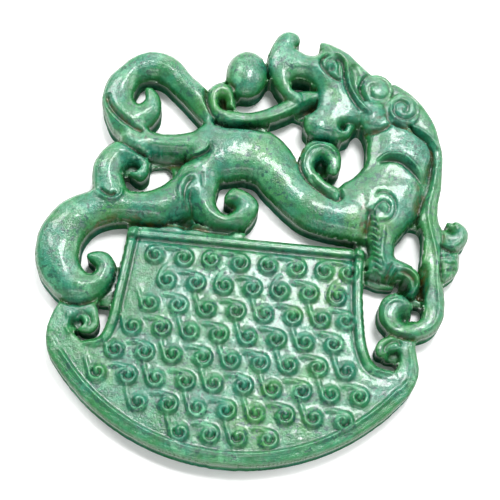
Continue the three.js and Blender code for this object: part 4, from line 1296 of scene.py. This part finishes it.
def polished_jade(colours):
    """Nephrite jade, carved and polished: clouded green that lets some light in.

    The wet gloss of the polish shows as broad, slightly broken highlights on the face. The
    walls, which the carver left matt, are rougher, and their colour is darkened as painted
    shade. The recesses are darkened with painted shade too, and the thin edges near the
    outline carry a painted olive glow of light through the stone.
    """
    material = bpy.data.materials.new("polished_nephrite_jade")
    material.use_nodes = True
    tree = material.node_tree
    tree.nodes.clear()
    place = tree.nodes.new("ShaderNodeTexCoord").outputs["Object"]
    share = {}
    for name, (size, detail, rough, twist, low, high) in PATTERNS.items():
        settings = {
            "Scale": 1 / (size * MM),
            "Detail": detail,
            "Roughness": rough,
            "Distortion": twist,
        }
        noise = node(tree, "ShaderNodeTexNoise", settings, Vector=place)
        settings = {"interpolation_type": "SMOOTHSTEP", "From Min": low, "From Max": high}
        spread = node(tree, "ShaderNodeMapRange", settings, Value=noise.outputs["Fac"])
        share[name] = spread.outputs["Result"]
    for name in ("hollow", "dust", "rim", "wall"):
        made = node(tree, "ShaderNodeAttribute", {"attribute_name": name})
        share[name] = made.outputs["Fac"]
    ground = {"data_type": "RGBA", 6: tuple(colours.green), 7: tuple(colours.blue)}
    base = node(tree, "ShaderNodeMix", ground, i0=share["cloud"]).outputs[2]
    for colour, name, by in (
        (colours.olive, "warm", 1.0),
        (colours.pale, "milk", 0.52),
        (colours.deep, "mottle", 0.5),
        (colours.fleck, "fleck", "thick"),
        # Painted shade: the recesses are darkened by how deep they lie
        (colours.deep, "hollow", 0.9),
        # Painted glow of light through the thin edges near the outline
        (colours.olive, "rim", 0.45),
        (colours.residue, "dust", "patch"),
        # Painted shade on the walls, which face away from the lamps
        (colours.deep, "wall", 0.5),
    ):
        if by in share:
            links = {"i0": share[name], "i1": share[by]}
            amount = node(tree, "ShaderNodeMath", {"operation": "MULTIPLY"}, **links)
        else:
            settings = {"operation": "MULTIPLY", 1: by}
            amount = node(tree, "ShaderNodeMath", settings, i0=share[name])
        settings = {"data_type": "RGBA", 7: tuple(colour)}
        layer = node(tree, "ShaderNodeMix", settings, i0=amount.outputs[0], i6=base)
        base = layer.outputs[2]
    links = {"Base Color": base}
    for name, face, wall in (
        ("Roughness", 0.27, 0.8),
        ("Specular IOR Level", 0.5, 0.06),
        ("Coat Weight", 0.3, 0.0),
    ):
        settings = {"To Min": face, "To Max": wall}
        ranged = node(tree, "ShaderNodeMapRange", settings, Value=share["wall"])
        links[name] = ranged.outputs["Result"]
    under = {}
    for size, detail, rough, strength, height in BUMPS:
        settings = {"Scale": 1 / (size * MM), "Detail": detail, "Roughness": rough}
        noise = node(tree, "ShaderNodeTexNoise", settings, Vector=place)
        settings = {"Strength": strength, "Distance": height * MM}
        bump = node(tree, "ShaderNodeBump", settings, Height=noise.outputs["Fac"], **under)
        under = {"Normal": bump.outputs["Normal"]}
    settings = {
        "IOR": 1.61,
        "Subsurface Weight": 0.35,
        "Subsurface Radius": (0.9, 1.6, 1.1),
        "Subsurface Scale": 0.9 * MM,
        "Coat Roughness": 0.08,
    }
    shader = node(tree, "ShaderNodeBsdfPrincipled", settings, **links, **under)
    node(tree, "ShaderNodeOutputMaterial", Surface=shader.outputs[0])
    return material


def matt_paper(colours):
    """White paper, uncoated: it spreads light evenly and takes only a faint shadow."""
    material = bpy.data.materials.new("matt_white_paper")
    material.use_nodes = True
    tree = material.node_tree
    tree.nodes.clear()
    settings = {"Base Color": tuple(colours.floor), "Roughness": 0.95, "Specular IOR Level": 0.1}
    shader = node(tree, "ShaderNodeBsdfPrincipled", settings)
    node(tree, "ShaderNodeOutputMaterial", Surface=shader.outputs[0])
    return material


class JADE_OT_carving(Operator):
    """Carve the jade piece"""

    bl_idname = "jade.carving"
    bl_label = "Carve the jade"

    def execute(self, context):
        sizes = context.scene.jade_sizes
        relief = build_relief(sizes)
        vertices, faces, free = shell(relief)
        mesh = quad_mesh(NODE, vertices, faces)
        carving = bpy.data.objects.new("jade_dragon_blade", mesh)
        context.scene.collection.objects.link(carving)
        thinned(carving, free)
        # The rim grid is nearness to the outline; it paints an olive glow of light through the
        # thin edges
        reach = 1.6
        rim = (1 - relief.outside_distance(reach) / reach).clip(0, 1)
        grids = {
            # Painted shade in the recesses
            "hollow": hollow(relief),
            "dust": relief.blurred(relief.dust, 2),
            "rim": relief.blurred(rim, 2),
        }
        mark(carving.data, relief, grids)
        for polygon in carving.data.polygons:
            polygon.use_smooth = True
        carving.data.set_sharp_from_angle(angle=math.radians(75))
        carving.data.materials.clear()
        carving.data.materials.append(polished_jade(context.scene.jade_colours))
        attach(carving, "root")
        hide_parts(NODE)
        return {"FINISHED"}


LAMPS = (
    # name, direction, distance and size in metres, radiance
    ("overhead softbox", (0.13, 0.37, 0.92), 0.6, (0.16, 0.16), 40.0),
    ("left window", (-0.5, 0.5, 0.7), 0.6, (0.17, 0.17), 22.0),
    ("right window", (0.72, 0.2, 0.66), 0.6, (0.2, 0.2), 9.0),
    ("front window", (0.0, -0.8, 0.6), 0.7, (0.4, 0.16), 7.0),
    ("back window", (0.1, 0.9, 0.42), 0.7, (0.5, 0.14), 7.0),
)


class JADE_OT_stage(Operator):
    """Lay the paper, set the lamps and place the camera"""

    bl_idname = "jade.stage"
    bl_label = "Set the stage"

    def execute(self, context):
        scene = context.scene
        mesh = bpy.data.meshes.new("paper")
        reach, height = 3.0, -0.1 * MM
        corners = ((-1, -1), (1, -1), (1, 1), (-1, 1))
        points = [(reach * x, reach * y, height) for x, y in corners]
        mesh.from_pydata(points, [], [(0, 1, 2, 3)])
        paper = bpy.data.objects.new("paper", mesh)
        mesh.materials.append(matt_paper(scene.jade_colours))
        scene.collection.objects.link(paper)
        for name, direction, distance, size, radiance in LAMPS:
            lamp = bpy.data.lights.new(name, "AREA")
            lamp.shape = "RECTANGLE"
            lamp.size, lamp.size_y = size
            lamp.energy = radiance * math.pi * size[0] * size[1]
            holder = bpy.data.objects.new(name, lamp)
            towards = Vector(direction).normalized()
            holder.location = towards * distance
            holder.rotation_euler = (-towards).to_track_quat("-Z", "Y").to_euler()
            scene.collection.objects.link(holder)
        world = bpy.data.worlds.new("studio")
        world.use_nodes = True
        background = world.node_tree.nodes["Background"]
        background.inputs["Color"].default_value = (1, 1, 1, 1)
        background.inputs["Strength"].default_value = 0.5
        scene.view_settings.view_transform = "Standard"
        scene.world = world
        self.place_camera(scene)
        return {"FINISHED"}

    def place_camera(self, scene):
        stage = scene.jade_stage
        tilt, side = stage.tilt, stage.side
        back = Vector(
            (-math.sin(side) * math.cos(tilt), -math.sin(tilt), math.cos(side) * math.cos(tilt))
        )
        right = Vector((math.cos(side), 0, math.sin(side)))
        upward = back.cross(right)
        turn = Matrix.Rotation(stage.roll, 3, "Z")
        axes = Matrix((turn @ right, turn @ upward, turn @ back)).transposed()
        target = Vector((-MIDDLE_X * MM, -MIDDLE_Y * MM, 5.2 * MM))
        data = bpy.data.cameras.new("camera")
        data.sensor_width = SENSOR_WIDTH
        data.lens = PIXELS_PER_MM * VIEW_DISTANCE * SENSOR_WIDTH / PICTURE_WIDTH
        data.clip_start, data.clip_end = 0.01, 20.0
        camera = bpy.data.objects.new("camera", data)
        camera.matrix_world = Matrix.Translation(
            target + turn @ back * stage.distance
        ) @ axes.to_4x4()
        scene.collection.objects.link(camera)
        scene.camera = camera


class JADE_PT_panel(Panel):
    """Lists what can be changed and built"""

    bl_label = "Pierced jade carving"
    bl_idname = "JADE_PT_panel"
    bl_space_type = "VIEW_3D"
    bl_region_type = "UI"
    bl_category = "Jade"

    def draw(self, context):
        scene = context.scene
        for group in (scene.jade_sizes, scene.jade_colours, scene.jade_stage):
            column = self.layout.column()
            for key in group.__annotations__:
                column.prop(group, key)
        self.layout.operator("jade.carving")
        self.layout.operator("jade.stage")


CLASSES = (
    JadeSizes,
    JadeColours,
    JadeStage,
    JADE_OT_carving,
    JADE_OT_stage,
    JADE_PT_panel,
)


def register():
    for cls in CLASSES:
        bpy.utils.register_class(cls)
    bpy.types.Scene.jade_sizes = PointerProperty(type=JadeSizes)
    bpy.types.Scene.jade_colours = PointerProperty(type=JadeColours)
    bpy.types.Scene.jade_stage = PointerProperty(type=JadeStage)


def unregister():
    del bpy.types.Scene.jade_stage
    del bpy.types.Scene.jade_colours
    del bpy.types.Scene.jade_sizes
    for cls in reversed(CLASSES):
        bpy.utils.unregister_class(cls)


def main():
    register()
    bpy.ops.jade.carving()
    bpy.ops.jade.stage()


if __name__ == "__main__":
    main()
